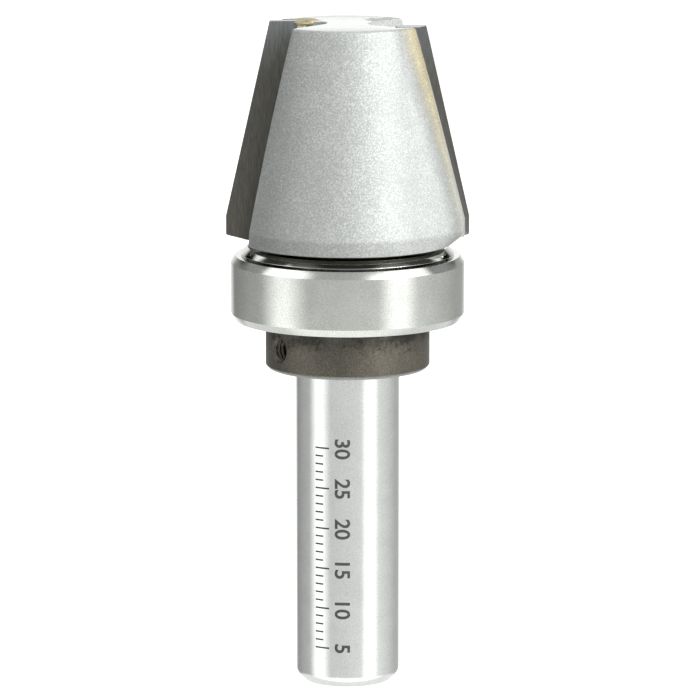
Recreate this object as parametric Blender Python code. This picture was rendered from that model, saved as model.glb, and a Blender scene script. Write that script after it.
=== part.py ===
"""Countertop router bit: a tapered two-flute head on a straight shank, with a guide bearing and a lock collar.

The bit stands on the flat end of its shank, with the origin at that end's centre and +Z along the bit.
Seen from the front, from -Y, the left tip shows its cutting face and the right tip its flank.
All sizes are in metres.
"""

import math

import bmesh
import bpy
from mathutils import Matrix, Vector

# Shank
SHANK_DIAMETER = 0.0127
SHANK_END_BEVEL = 0.00098
BARE_SHANK_LENGTH = 0.03915  # from the shank's end to the lock collar

# Lock collar and its set screw
COLLAR_DIAMETER = 0.0201
COLLAR_WIDTH = 0.00595
COLLAR_EDGE_BEVEL = 0.0004
SET_SCREW_DIAMETER = 0.0029
SET_SCREW_LENGTH = 0.002
SET_SCREW_SOCKET = 0.0013  # across the flats of its hexagon
SET_SCREW_ANGLE = math.radians(214)  # seen from above, counted from +X
SCREW_HOLE_COUNTERSINK = 0.00018

# Guide bearing, a standard shielded one
BEARING_OUTER_DIAMETER = 0.028575
BEARING_WIDTH = 0.0079375
BEARING_EDGE_HEIGHT = 0.0009
BEARING_EDGE_DEPTH = 0.00055
BALL_COUNT = 8
BALL_RATIO = 0.6  # a ball's diameter against the smaller side of the bearing's section
RACE_CLEARANCE = 0.00004
CAGE_SHEET = 0.00035
CAGE_CLEARANCE = 0.00016
RIVET_DIAMETER = 0.0008
RIVET_HEAD_DIAMETER = 0.0014
RIVET_HEAD_HEIGHT = 0.0003
RIVET_CROWN_RATIO = 0.7  # the flat of its domed head against the head's width
SHIELD_SHEET = 0.0003
SHIELD_RECESS = 0.00022

# Washer between bearing and head
WASHER_DIAMETER = 0.0261
WASHER_THICKNESS = 0.00085
WASHER_BEVEL = 0.0007
WASHER_BOSS_HEIGHT = 0.0002  # lifts the washer clear of the turning ring

# Head
NECK_DIAMETER = 0.0168
NECK_LENGTH = 0.0004
HEAD_LENGTH = 0.02682
HEAD_BASE_DIAMETER = 0.02555
HEAD_TOP_DIAMETER = 0.0181
HEAD_BAND_HEIGHT = 0.0018  # nearly straight, under the taper
HEAD_RIM_BEVEL = 0.00035
PAD_FOOT_HEIGHT = 0.0013  # the sloped foot of the ground pad behind each tip
PAD_GROUND_ANGLE = math.radians(9)
PAD_BLEND_ANGLE = math.radians(36)
TIP_SEAT_ANGLE = math.radians(14)  # round the axis, ahead of the pad, where the tip sits

# Flutes: the gullet in front of each tip
GULLET_TOP_EDGE = (0.0067, 0.0061)  # where the far wall meets the land, at the top of the head
GULLET_BASE_EDGE = (0.0121, 0.0041)  # the same at its base
GULLET_TOP_SLOPE = math.radians(62)
GULLET_BASE_SLOPE = math.radians(50)
GULLET_TOP_ROOT = 0.0026
GULLET_BASE_ROOT = 0.0012

# Carbide tips
CUTTING_DIAMETER = 0.0297
TIP_TAPER = math.radians(12.75)  # of the cutting edge, seen square to the tip's face
TIP_LEAN = math.radians(5.6)
TIP_HOOK = math.radians(3)
TIP_RELIEF = math.radians(10)
TIP_WIDTH = 0.0036
TIP_THICKNESS = 0.0021
TIP_STRAIGHT_HEIGHT = 0.00235  # the straight edge under the taper
TIP_FOOT_HEIGHT = 0.0009  # from the head's base up to the tip's lowest outer corner
TIP_FOOT_SLOPE = math.radians(14)
TIP_CORNER_BEVEL = 0.00012
TIP_HEEL_BEVEL = 0.0006
TIP_RISE = 0.0001  # above the head's top face
TIP_STEP = 0.00012  # in front of the gullet's wall
BRAZE_THICKNESS = 0.00014

# Fits and facets
SEAT_GAP = 0.00003
BRAZE_GAP = 0.00002
SHANK_FIT = 0.00003
SCREW_FIT = 0.00005
BODY_SEGMENTS = 96
ROUND_SEGMENTS = 64
HIDDEN_SEGMENTS = 48
MERGE = 1e-7

# What follows from them
SHANK_RADIUS = SHANK_DIAMETER / 2
BORE_RADIUS = SHANK_RADIUS + SHANK_FIT
COLLAR_BASE = BARE_SHANK_LENGTH
BEARING_BASE = COLLAR_BASE + COLLAR_WIDTH + SEAT_GAP
BEARING_CENTRE = BEARING_BASE + BEARING_WIDTH / 2
WASHER_BASE = BEARING_BASE + BEARING_WIDTH + SEAT_GAP
NECK_BASE = WASHER_BASE + WASHER_BOSS_HEIGHT + WASHER_THICKNESS + SEAT_GAP
HEAD_BASE = NECK_BASE + NECK_LENGTH
HEAD_TOP = HEAD_BASE + HEAD_LENGTH
TIP_TOP = HEAD_TOP + TIP_RISE
TIP_CORNER = HEAD_BASE + TIP_FOOT_HEIGHT
TIP_BEND = TIP_CORNER + TIP_STRAIGHT_HEIGHT
CUTTING_RADIUS = CUTTING_DIAMETER / 2
BEARING_RADIUS = BEARING_OUTER_DIAMETER / 2
PITCH_RADIUS = (BEARING_RADIUS + SHANK_RADIUS) / 2
BALL_RADIUS = min(BEARING_RADIUS - SHANK_RADIUS, BEARING_WIDTH) * BALL_RATIO / 2
INNER_LAND = PITCH_RADIUS - 0.6 * BALL_RADIUS
OUTER_LAND = PITCH_RADIUS + 0.6 * BALL_RADIUS
SHIELD_SEAT = OUTER_LAND + 0.3 * BALL_RADIUS


def material(name, colour, roughness, metallic):
    made = bpy.data.materials.new(name)
    made.use_nodes = True
    shader = made.node_tree.nodes["Principled BSDF"]
    shader.inputs["Base Color"].default_value = (*colour, 1)
    shader.inputs["Roughness"].default_value = roughness
    shader.inputs["Metallic"].default_value = metallic
    return made


def placed(name, bm, finish, parent=None, location=(0, 0, 0)):
    """Makes the mesh an object of the scene, shaded smooth up to its edges."""
    bmesh.ops.remove_doubles(bm, verts=bm.verts, dist=MERGE)
    bmesh.ops.recalc_face_normals(bm, faces=bm.faces)
    mesh = bpy.data.meshes.new(name)
    bm.to_mesh(mesh)
    bm.free()
    mesh.materials.append(finish)
    mesh.shade_smooth()
    mesh.set_sharp_from_angle(angle=math.radians(28))
    made = bpy.data.objects.new(name, mesh)
    made.location = location
    made.parent = parent
    bpy.context.scene.collection.objects.link(made)
    return made


def axis_empty(name, location):
    made = bpy.data.objects.new(name, None)
    made.location = location
    made.empty_display_size = SHANK_DIAMETER
    bpy.context.scene.collection.objects.link(made)
    return made


def turned(profile, segments, closed=True):
    """Spins a profile of (radius, height) points once round Z."""
    bm = bmesh.new()
    points = [bm.verts.new((radius, 0, height)) for radius, height in profile]
    followers = points[1:] + points[:1] if closed else points[1:]
    edges = [bm.edges.new(pair) for pair in zip(points, followers)]
    bmesh.ops.spin(
        bm, geom=points + edges, cent=(0, 0, 0), axis=(0, 0, 1), angle=math.tau, steps=segments
    )
    return bm


def lofted(sections, endless=False):
    """Joins closed sections of equal point counts. Open ends are capped."""
    bm = bmesh.new()
    rings = [[bm.verts.new(point) for point in section] for section in sections]
    followers = rings[1:] + rings[:1] if endless else rings[1:]
    for ring, follower in zip(rings, followers):
        for index in range(len(ring)):
            after = (index + 1) % len(ring)
            bm.faces.new((ring[index], ring[after], follower[after], follower[index]))
    if not endless:
        bm.faces.new(rings[0])
        bm.faces.new(rings[-1])
    return bm


def arc(centre, radius, start, end, steps):
    """Points along an arc in the plane of a profile or a section."""
    return [
        (
            centre[0] + radius * math.cos(start + (end - start) * step / steps),
            centre[1] + radius * math.sin(start + (end - start) * step / steps),
        )
        for step in range(steps + 1)
    ]


def cut(body, cutter):
    """Takes a cutter out of a body with a Boolean."""
    cutter.hide_render = True
    cutter.display_type = "WIRE"
    cutter.parent = body
    boolean = body.modifiers.new(cutter.name, "BOOLEAN")
    boolean.operation = "DIFFERENCE"
    boolean.object = cutter


def half_turn(points):
    return [Vector((-point[0], -point[1], point[2])) for point in points]


# The right tip's face is a plane through its cutting edge. It leans back as it rises and hooks back as it runs in.
def face_y(x, z):
    return (x - CUTTING_RADIUS) * math.tan(TIP_HOOK) - (z - TIP_BEND) * math.tan(TIP_LEAN)


FACE_NORMAL = Vector((-math.tan(TIP_HOOK), 1, math.tan(TIP_LEAN))).normalized()


def behind_face(x, z, depth):
    """The point at this depth square behind the face's own point (x, z)."""
    return Vector((x, face_y(x, z), z)) - FACE_NORMAL * depth


def plane_y(x, z, depth):
    """Where the plane at this depth behind the face stands at (x, z)."""
    return face_y(x, z) - depth / FACE_NORMAL.y


def edge_x(z):
    """The cutting edge, straight at the foot and tapered above it."""
    return CUTTING_RADIUS - max(z - TIP_BEND, 0) * math.tan(TIP_TAPER)


def tip_inner_x(z):
    """The tip's inner edge runs along the taper for its whole length."""
    return CUTTING_RADIUS - TIP_WIDTH - (z - TIP_BEND) * math.tan(TIP_TAPER)


def heel_radius(z):
    """How far from the axis the ground flank stands at the tip's back."""
    x = edge_x(z)
    return math.hypot(x, face_y(x, z)) - TIP_THICKNESS * math.tan(TIP_RELIEF)


def heel_angle(z):
    """The angle round the axis at which the tip's back meets the flank."""
    radius = heel_radius(z)
    y = plane_y(radius, z, TIP_THICKNESS)
    return math.asin(y / radius)


def land_radius(z):
    """The painted cone of the head, nearly straight over the band at its base."""
    base = HEAD_BASE_DIAMETER / 2
    above_band = max(z - HEAD_BASE - HEAD_BAND_HEIGHT, 0) / (HEAD_LENGTH - HEAD_BAND_HEIGHT)
    return base + (HEAD_TOP_DIAMETER / 2 - base) * above_band


def head_radius(angle, z):
    """The head's radius: the land, rising to the ground pad behind either tip."""
    behind = (heel_angle(z) - angle) % math.pi
    if behind > math.pi - TIP_SEAT_ANGLE:
        behind = 0
    ground = heel_radius(z) * (1 - behind * math.tan(TIP_RELIEF))
    share = min(max((behind - PAD_GROUND_ANGLE) / PAD_BLEND_ANGLE, 0), 1)
    share = share * share * (3 - 2 * share)
    return max(land_radius(z), ground + (land_radius(z) - ground) * share)


def round_section(z, radius_at):
    """A closed section at one height, with its radius given for each angle."""
    angles = [math.tau * index / BODY_SEGMENTS for index in range(BODY_SEGMENTS)]
    return [
        Vector((radius_at(angle) * math.cos(angle), radius_at(angle) * math.sin(angle), z))
        for angle in angles
    ]


def shank_sections():
    steps = (
        (0, SHANK_RADIUS - SHANK_END_BEVEL),
        (SHANK_END_BEVEL, SHANK_RADIUS),
        (NECK_BASE, SHANK_RADIUS),
        (NECK_BASE, NECK_DIAMETER / 2),
        (HEAD_BASE, NECK_DIAMETER / 2),
    )
    return [round_section(z, lambda angle, radius=radius: radius) for z, radius in steps]


def head_sections():
    """From the flat base up: the pads' sloped foot, the straight band, the taper and the rim."""
    rim = HEAD_TOP - HEAD_RIM_BEVEL
    taper_steps = 5
    levels = [HEAD_BASE + PAD_FOOT_HEIGHT, HEAD_BASE + HEAD_BAND_HEIGHT]
    levels += [TIP_BEND + (rim - TIP_BEND) * step / taper_steps for step in range(taper_steps + 1)]
    sections = [round_section(HEAD_BASE, lambda angle: land_radius(HEAD_BASE))]
    sections += [round_section(z, lambda angle, z=z: head_radius(angle, z)) for z in levels]
    sections.append(round_section(HEAD_TOP, lambda angle: head_radius(angle, HEAD_TOP) - HEAD_RIM_BEVEL))
    return sections


def gullet_section(z, share):
    """The right gullet's section: the wall under the tip's face, a round root and the far wall.

    Its far wall goes from the edge at the head's base, share 0, to that at its top, share 1."""
    def between(base, top):
        return base + (top - base) * share

    edge = Vector([between(base, top) for base, top in zip(GULLET_BASE_EDGE, GULLET_TOP_EDGE)])
    slope = between(GULLET_BASE_SLOPE, GULLET_TOP_SLOPE)
    root = between(GULLET_BASE_ROOT, GULLET_TOP_ROOT)
    near = Vector((math.cos(TIP_HOOK), math.sin(TIP_HOOK)))
    far = Vector((math.cos(slope), math.sin(slope)))
    start = Vector((0, plane_y(0, z, TIP_STEP)))
    # The walls cross where start + near * along reaches the far wall's line through edge.
    along = (edge - start).cross(far) / near.cross(far)
    corner = start + near * along
    half = (slope - TIP_HOOK) / 2
    middle = corner + (near + far).normalized() * root / math.sin(half)
    reach = CUTTING_DIAMETER
    curve = arc(middle, root, slope + math.pi / 2, TIP_HOOK + math.tau - math.pi / 2, 8)
    outline = [edge + far * reach, edge, *curve, corner + near * reach]
    return [Vector((x, y, z)) for x, y in outline]


def gullet_cutter():
    """It runs past the head's base and top, where its walls keep their lean."""
    over = 2 * TIP_RISE
    low, high = -over / HEAD_LENGTH, 1 + over / HEAD_LENGTH
    return [gullet_section(HEAD_BASE + HEAD_LENGTH * share, share) for share in (low, high)]


def pocket_section(z):
    """The tip's seat, open to the front and outside, with room for the braze behind and beside the tip."""
    inner = tip_inner_x(z) - BRAZE_THICKNESS
    outer = CUTTING_DIAMETER
    back = TIP_THICKNESS + BRAZE_THICKNESS
    front = -TIP_THICKNESS
    corners = ((inner, back), (outer, back), (outer, front), (inner, front))
    return [Vector((x, plane_y(x, z, depth), z)) for x, depth in corners]


def pocket_cutter():
    over = 2 * TIP_RISE
    return [pocket_section(HEAD_BASE - over), pocket_section(TIP_TOP + over)]


def tip_sections():
    """The tip's face and its back. The back is smaller by the relief of every cutting edge."""
    foot_x = tip_inner_x(HEAD_BASE)
    foot_z = TIP_CORNER - (CUTTING_RADIUS - foot_x) * math.tan(TIP_FOOT_SLOPE)
    bevel = TIP_CORNER_BEVEL
    outline = (
        (CUTTING_RADIUS - bevel, TIP_CORNER),
        (CUTTING_RADIUS, TIP_CORNER + bevel),
        (CUTTING_RADIUS, TIP_BEND),
        (edge_x(TIP_TOP), TIP_TOP),
        (tip_inner_x(TIP_TOP), TIP_TOP),
        (tip_inner_x(foot_z), foot_z),
    )
    face = [behind_face(x, z, 0) for x, z in outline]
    relief = TIP_THICKNESS * math.tan(TIP_RELIEF)
    back_outline = (
        (math.inf, TIP_CORNER + relief / 2),
        (math.inf, TIP_CORNER + relief / 2 + TIP_HEEL_BEVEL),
        (math.inf, TIP_BEND),
        (math.inf, TIP_TOP - relief / 2),
        (tip_inner_x(TIP_TOP - relief / 2), TIP_TOP - relief / 2),
        (tip_inner_x(foot_z + relief / 2), foot_z + relief / 2),
    )
    back = [on_back(x, z) for x, z in back_outline]
    back[0].x -= TIP_HEEL_BEVEL
    back[0].y = plane_y(back[0].x, back[0].z, TIP_THICKNESS)
    return face, back


def on_back(x, z):
    """A point of the tip's back plane, no further out than the ground flank."""
    if x > heel_radius(z):
        x = heel_radius(z) * math.cos(heel_angle(z))
    return Vector((x, plane_y(x, z, TIP_THICKNESS), z))


def braze_section(z):
    """The braze in plan: a thin angle behind the tip and along its inner edge."""
    outer = heel_radius(z) * math.cos(heel_angle(z)) - BRAZE_THICKNESS
    tip_side = tip_inner_x(z) - BRAZE_GAP
    pocket_side = tip_inner_x(z) - BRAZE_THICKNESS + BRAZE_GAP
    near = TIP_THICKNESS + BRAZE_GAP
    far = TIP_THICKNESS + BRAZE_THICKNESS - BRAZE_GAP
    corners = (
        (outer, near),
        (tip_side, near),
        (tip_side, TIP_STEP),
        (pocket_side, TIP_STEP),
        (pocket_side, far),
        (outer, far),
    )
    return [Vector((x, plane_y(x, z, depth), z)) for x, depth in corners]


def braze_sections():
    """The seam follows the bend of the flank and ends just short of the head's faces."""
    return [braze_section(z) for z in (TIP_CORNER, TIP_BEND, HEAD_TOP - BRAZE_THICKNESS)]


def make_cutter_body(steel):
    body = placed("cutter_body", lofted(shank_sections() + head_sections()), steel)
    for side, turn in (("right", list), ("left", half_turn)):
        for kind, sections in (("gullet", gullet_cutter()), ("pocket", pocket_cutter())):
            cutter = placed(f"{kind}_cutter_{side}", lofted([turn(section) for section in sections]), steel)
            cut(body, cutter)


def make_tips(carbide, braze):
    for side, turn in (("right", list), ("left", half_turn)):
        placed(f"carbide_tip_{side}", lofted([turn(section) for section in tip_sections()]), carbide)
        placed(f"braze_seam_{side}", lofted([turn(section) for section in braze_sections()]), braze)


def make_washer(steel):
    """A bevelled washer whose boss bears on the inner ring alone."""
    outer = WASHER_DIAMETER / 2
    boss = INNER_LAND - SEAT_GAP
    under = WASHER_BOSS_HEIGHT
    top = under + WASHER_THICKNESS
    profile = [
        (BORE_RADIUS, 0),
        (boss, 0),
        (boss, under),
        (outer, under),
        (outer, top - WASHER_BEVEL),
        (outer - WASHER_BEVEL, top),
        (BORE_RADIUS, top),
    ]
    placed("bearing_washer", turned(profile, ROUND_SEGMENTS), steel, location=(0, 0, WASHER_BASE))


def race(land, centre_side):
    """The groove of a ring, as an arc of a circle a little larger than the ball."""
    radius = BALL_RADIUS * 1.04
    bottom = PITCH_RADIUS + centre_side * (BALL_RADIUS + RACE_CLEARANCE)
    centre = bottom - centre_side * radius
    reach = math.acos((land - centre) / (centre_side * radius))
    middle = 0 if centre_side > 0 else math.pi
    return arc((centre, 0), radius, middle - reach, middle + reach, 6)


def make_outer_ring(steel, axis):
    half = BEARING_WIDTH / 2
    seat = half - SHIELD_RECESS - 2 * SHIELD_SHEET - SEAT_GAP
    upper = [
        (OUTER_LAND, seat),
        (SHIELD_SEAT, seat),
        (SHIELD_SEAT, half),
        (BEARING_RADIUS - BEARING_EDGE_DEPTH, half),
        (BEARING_RADIUS, half - BEARING_EDGE_HEIGHT),
    ]
    lower = [(radius, -height) for radius, height in reversed(upper)]
    profile = race(OUTER_LAND, 1) + upper + lower
    placed("bearing_outer_ring", turned(profile, ROUND_SEGMENTS), steel, axis)


def make_inner_ring(steel):
    half = BEARING_WIDTH / 2
    bevel = BEARING_EDGE_HEIGHT / 2
    groove = race(INNER_LAND, -1)
    profile = [
        (INNER_LAND, -half),
        *reversed(groove),
        (INNER_LAND, half),
        (BORE_RADIUS + bevel, half),
        (BORE_RADIUS, half - bevel),
        (BORE_RADIUS, bevel - half),
        (BORE_RADIUS + bevel, -half),
    ]
    placed(
        "bearing_inner_ring", turned(profile, HIDDEN_SEGMENTS), steel, location=(0, 0, BEARING_CENTRE)
    )


def make_shields(steel, axis):
    """Pressed rings. Each has its rim against the outer ring's step, and a flat that stands further out."""
    half = BEARING_WIDTH / 2
    outer = SHIELD_SEAT - SEAT_GAP
    inner = INNER_LAND + SHIELD_SHEET
    bend = OUTER_LAND - SHIELD_SHEET
    face = half - SHIELD_RECESS
    rim = face - 2 * SHIELD_SHEET
    profile = [
        (outer, rim),
        (outer, rim + SHIELD_SHEET),
        (bend + SHIELD_SHEET, rim + SHIELD_SHEET),
        (bend, face),
        (inner, face),
        (inner, face - SHIELD_SHEET),
        (bend - SHIELD_SHEET, face - SHIELD_SHEET),
        (bend, rim),
    ]
    for name, side in (("shield_upper", 1), ("shield_lower", -1)):
        mirrored = [(radius, side * height) for radius, height in profile]
        placed(name, turned(mirrored, HIDDEN_SEGMENTS), steel, axis)


def ribbon_path(height, radius):
    """Half a pitch of the cage's wave, as (distance from the ball's centre, height): an arc, then the flat."""
    flat_half = math.pi * PITCH_RADIUS / BALL_COUNT
    start = math.asin(height / radius)
    rise = arc((0, 0), radius, math.pi / 2, start, 4)
    return rise + [(flat_half, height)]


def ribbon_sections():
    """The upper half-cage: a flat ribbon that arches over each ball."""
    inner_radius = BALL_RADIUS + CAGE_CLEARANCE
    lower = ribbon_path(SEAT_GAP, inner_radius)
    upper = ribbon_path(SEAT_GAP + CAGE_SHEET, inner_radius + CAGE_SHEET)
    half_width = 0.45 * BALL_RADIUS
    pitch = math.tau / BALL_COUNT
    sections = []
    for ball in range(BALL_COUNT):
        for side in (-1, 1):
            pairs = list(zip(lower, upper))
            # The left side runs from its flat up to the crown, and the right side back down.
            pairs = list(reversed(pairs))[:-1] if side < 0 else pairs[:-1]
            for (low_along, low_height), (high_along, high_height) in pairs:
                low_angle = ball * pitch + side * low_along / PITCH_RADIUS
                high_angle = ball * pitch + side * high_along / PITCH_RADIUS
                corners = (
                    (PITCH_RADIUS - half_width, low_angle, low_height),
                    (PITCH_RADIUS + half_width, low_angle, low_height),
                    (PITCH_RADIUS + half_width, high_angle, high_height),
                    (PITCH_RADIUS - half_width, high_angle, high_height),
                )
                sections.append([Vector((r * math.cos(a), r * math.sin(a), z)) for r, a, z in corners])
    return sections


def rivet_angle(index):
    """The rivets stand halfway between the balls."""
    return math.tau * (index + 0.5) / BALL_COUNT


def make_rivet_holes(steel, axis):
    """One cutter with a pin for each rivet hole."""
    bm = bmesh.new()
    for index in range(BALL_COUNT):
        angle = rivet_angle(index)
        spot = Vector((PITCH_RADIUS * math.cos(angle), PITCH_RADIUS * math.sin(angle), 0))
        radius = RIVET_DIAMETER / 2 + SEAT_GAP
        bmesh.ops.create_cone(
            bm, cap_ends=True, segments=8, radius1=radius, radius2=radius, depth=4 * CAGE_SHEET,
            matrix=Matrix.Translation(spot),
        )
    return placed("rivet_hole_cutter", bm, steel, axis)


def make_cage(steel, axis):
    holes = make_rivet_holes(steel, axis)
    for name, side in (("cage_upper", 1), ("cage_lower", -1)):
        sections = [[Vector((p.x, p.y, side * p.z)) for p in section] for section in ribbon_sections()]
        half = placed(name, lofted(sections, endless=True), steel, axis)
        drilled = half.modifiers.new("rivet holes", "BOOLEAN")
        drilled.operation = "DIFFERENCE"
        drilled.object = holes
    holes.hide_render = True
    holes.display_type = "WIRE"


def make_rivets(steel, axis):
    radius = RIVET_DIAMETER / 2
    head = RIVET_HEAD_DIAMETER / 2
    under = CAGE_SHEET + 2 * SEAT_GAP
    top = under + RIVET_HEAD_HEIGHT
    crown = RIVET_CROWN_RATIO * head
    half = [(radius, under), (head, under), (crown, under + 0.75 * RIVET_HEAD_HEIGHT), (0, top)]
    profile = [(r, -z) for r, z in reversed(half)] + half
    for index in range(BALL_COUNT):
        angle = rivet_angle(index)
        spot = (PITCH_RADIUS * math.cos(angle), PITCH_RADIUS * math.sin(angle), 0)
        placed(f"cage_rivet_{index + 1}", turned(profile, 8, closed=False), steel, axis, spot)


def make_balls(steel, axis):
    for index in range(BALL_COUNT):
        angle = math.tau * index / BALL_COUNT
        spot = (PITCH_RADIUS * math.cos(angle), PITCH_RADIUS * math.sin(angle), 0)
        bm = bmesh.new()
        bmesh.ops.create_uvsphere(bm, u_segments=14, v_segments=8, radius=BALL_RADIUS)
        placed(f"bearing_ball_{index + 1}", bm, steel, axis, spot)


def screw_direction():
    """Turns +Z to the screw's way out of the collar."""
    outwards = Vector((math.cos(SET_SCREW_ANGLE), math.sin(SET_SCREW_ANGLE), 0))
    return outwards.to_track_quat("Z", "X").to_matrix().to_4x4()


def make_collar(black_steel):
    outer = COLLAR_DIAMETER / 2
    bevel = COLLAR_EDGE_BEVEL
    profile = [
        (BORE_RADIUS + bevel, 0),
        (outer - bevel, 0),
        (outer, bevel),
        (outer, COLLAR_WIDTH - bevel),
        (outer - bevel, COLLAR_WIDTH),
        (BORE_RADIUS + bevel, COLLAR_WIDTH),
        (BORE_RADIUS, COLLAR_WIDTH - bevel),
        (BORE_RADIUS, bevel),
    ]
    collar = placed("lock_collar", turned(profile, ROUND_SEGMENTS), black_steel, location=(0, 0, COLLAR_BASE))
    hole = SET_SCREW_DIAMETER / 2
    sink = SCREW_HOLE_COUNTERSINK
    # The countersink's cone goes on outwards past the curved surface.
    profile = [(0, 0), (hole, 0), (hole, outer - sink), (hole + 2 * sink, outer + sink), (0, outer + sink)]
    bore = placed("screw_hole_cutter", turned(profile, 24, closed=False), black_steel)
    bore.data.transform(Matrix.Translation((0, 0, COLLAR_WIDTH / 2)) @ screw_direction())
    cut(collar, bore)


def make_set_screw(black_steel):
    """A plain slug with a hexagon socket and a bevelled point that bears on the shank."""
    radius = SET_SCREW_DIAMETER / 2 - SCREW_FIT
    point = BORE_RADIUS + SEAT_GAP
    end = point + SET_SCREW_LENGTH
    nose = radius / 2
    profile = [(0, point), (radius - nose, point), (radius, point + nose), (radius, end), (0, end)]
    screw = placed("set_screw", turned(profile, 24, closed=False), black_steel)
    bm = bmesh.new()
    across_corners = SET_SCREW_SOCKET / math.cos(math.radians(30))
    bmesh.ops.create_cone(
        bm, cap_ends=True, segments=6, radius1=across_corners / 2, radius2=across_corners / 2,
        depth=SET_SCREW_LENGTH, matrix=Matrix.Translation((0, 0, end)),
    )
    socket = placed("socket_cutter", bm, black_steel)
    place = Matrix.Translation((0, 0, COLLAR_BASE + COLLAR_WIDTH / 2)) @ screw_direction()
    screw.data.transform(place)
    socket.data.transform(place)
    cut(screw, socket)


def main():
    for old in list(bpy.data.objects):
        bpy.data.objects.remove(old, do_unlink=True)
    head_steel = material("satin silver steel", (0.42, 0.43, 0.43), 0.45, 0.8)
    ring_steel = material("bearing steel", (0.62, 0.62, 0.61), 0.18, 1.0)
    pressed_steel = material("pressed steel", (0.5, 0.5, 0.49), 0.35, 1.0)
    black_steel = material("blackened steel", (0.06, 0.055, 0.05), 0.5, 0.7)
    carbide = material("carbide", (0.09, 0.09, 0.085), 0.35, 0.9)
    braze = material("braze", (0.55, 0.42, 0.2), 0.35, 1.0)

    make_cutter_body(head_steel)
    make_tips(carbide, braze)
    make_washer(ring_steel)
    make_collar(black_steel)
    make_set_screw(black_steel)

    outer_race = axis_empty("outer_race_axis", (0, 0, BEARING_CENTRE))
    make_outer_ring(ring_steel, outer_race)
    make_shields(pressed_steel, outer_race)
    make_inner_ring(ring_steel)
    ball_cage = axis_empty("ball_cage_axis", (0, 0, BEARING_CENTRE))
    make_balls(ring_steel, ball_cage)
    make_cage(pressed_steel, ball_cage)
    make_rivets(pressed_steel, ball_cage)


main()
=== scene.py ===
"""Countertop router bit: a painted two-flute head with brazed tips, a guide bearing and a lock collar.

Laid out as an add-on: the settings, the shapes, the finishes, then one operator for each group of pieces
and one for the stage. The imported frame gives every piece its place. Sizes are in metres, heights along +Z.
"""

import math

import bmesh
import bpy
from bpy.props import FloatProperty, FloatVectorProperty, IntProperty, PointerProperty
from mathutils import Matrix, Vector, noise


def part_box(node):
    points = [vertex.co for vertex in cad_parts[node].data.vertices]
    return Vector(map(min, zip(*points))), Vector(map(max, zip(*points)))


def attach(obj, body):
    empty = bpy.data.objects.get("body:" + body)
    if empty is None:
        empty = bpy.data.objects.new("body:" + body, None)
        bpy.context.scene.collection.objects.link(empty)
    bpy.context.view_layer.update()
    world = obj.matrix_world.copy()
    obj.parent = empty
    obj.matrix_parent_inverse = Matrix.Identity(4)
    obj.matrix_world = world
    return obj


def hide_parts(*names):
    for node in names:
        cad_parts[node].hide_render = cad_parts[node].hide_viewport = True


bl_info = {
    "name": "Router bit finishes",
    "version": (1, 0, 0),
    "blender": (4, 5, 0),
    "location": "3D View > Sidebar > Router bit",
    "description": "Builds the finished pieces of a router bit with a guide bearing around its packed frame",
    "category": "Object",
}

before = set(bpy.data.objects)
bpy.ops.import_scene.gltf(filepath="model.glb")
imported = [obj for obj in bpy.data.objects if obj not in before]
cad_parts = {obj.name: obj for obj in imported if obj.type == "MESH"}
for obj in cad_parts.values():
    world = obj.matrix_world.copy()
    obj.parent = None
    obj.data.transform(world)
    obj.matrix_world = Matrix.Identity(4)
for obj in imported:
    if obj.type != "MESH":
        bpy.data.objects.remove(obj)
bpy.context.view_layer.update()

ROUND_SEGMENTS = 192
SHARP_ANGLE = math.radians(32)
CURVE_STEPS = 4  # in a small rounding
SUNK = 0.00003  # how far a bead or a mark starts below the surface that carries it
RIPPLES = 900  # how closely a bead of braze is rippled
NOISE_SPAN = (0.3, 0.7)  # where nearly all of a noise's values lie
CUTTER = "cutter"
OUTER_RACE = "outer_race"
SHANK_SLOT = 1  # the body's materials after the head's own
UNDERSIDE_SLOT = 2


def length(name, default, description):
    return FloatProperty(
        name=name, default=default, description=description, min=0, precision=5,
        subtype="DISTANCE", unit="LENGTH",
    )


def angle(name, degrees, description):
    return FloatProperty(
        name=name, default=math.radians(degrees), description=description, subtype="ANGLE", unit="ROTATION"
    )


def ratio(name, default, description):
    return FloatProperty(
        name=name, default=default, description=description, min=0, soft_max=2, subtype="FACTOR",
    )


def power(name, default, description):
    return FloatProperty(name=name, default=default, description=description, min=0, unit="POWER")


def colour(name, default, description):
    return FloatVectorProperty(
        name=name, default=default, description=description, size=3, min=0, max=1, subtype="COLOR"
    )


class HeadSizes(bpy.types.PropertyGroup):
    """The painted head"""

    length: length("Length", 0.02682, "From the head's flat base to its top face")
    base_diameter: length("Base diameter", 0.02555, "Across the painted lands at the base")
    top_diameter: length("Top diameter", 0.0181, "Across the painted lands at the top")
    band_height: length("Band height", 0.0018, "The nearly straight band under the taper")
    rim_round: length("Rim rounding", 0.00035, "The rounding of the top rim")
    base_round: length("Base rounding", 0.00012, "The rounding of the lowest edge")
    edge_round: length("Land rounding", 0.0003, "The rounding where a land meets the gullet")
    pad_foot: length("Pad foot", 0.0013, "The sloped foot of the raised pad behind a tip")
    pad_ground: angle("Ground angle", 9, "How far round the bit the pad is ground with the tip")
    pad_blend: angle("Blend angle", 36, "How far round the bit the pad sinks to the land")


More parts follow.
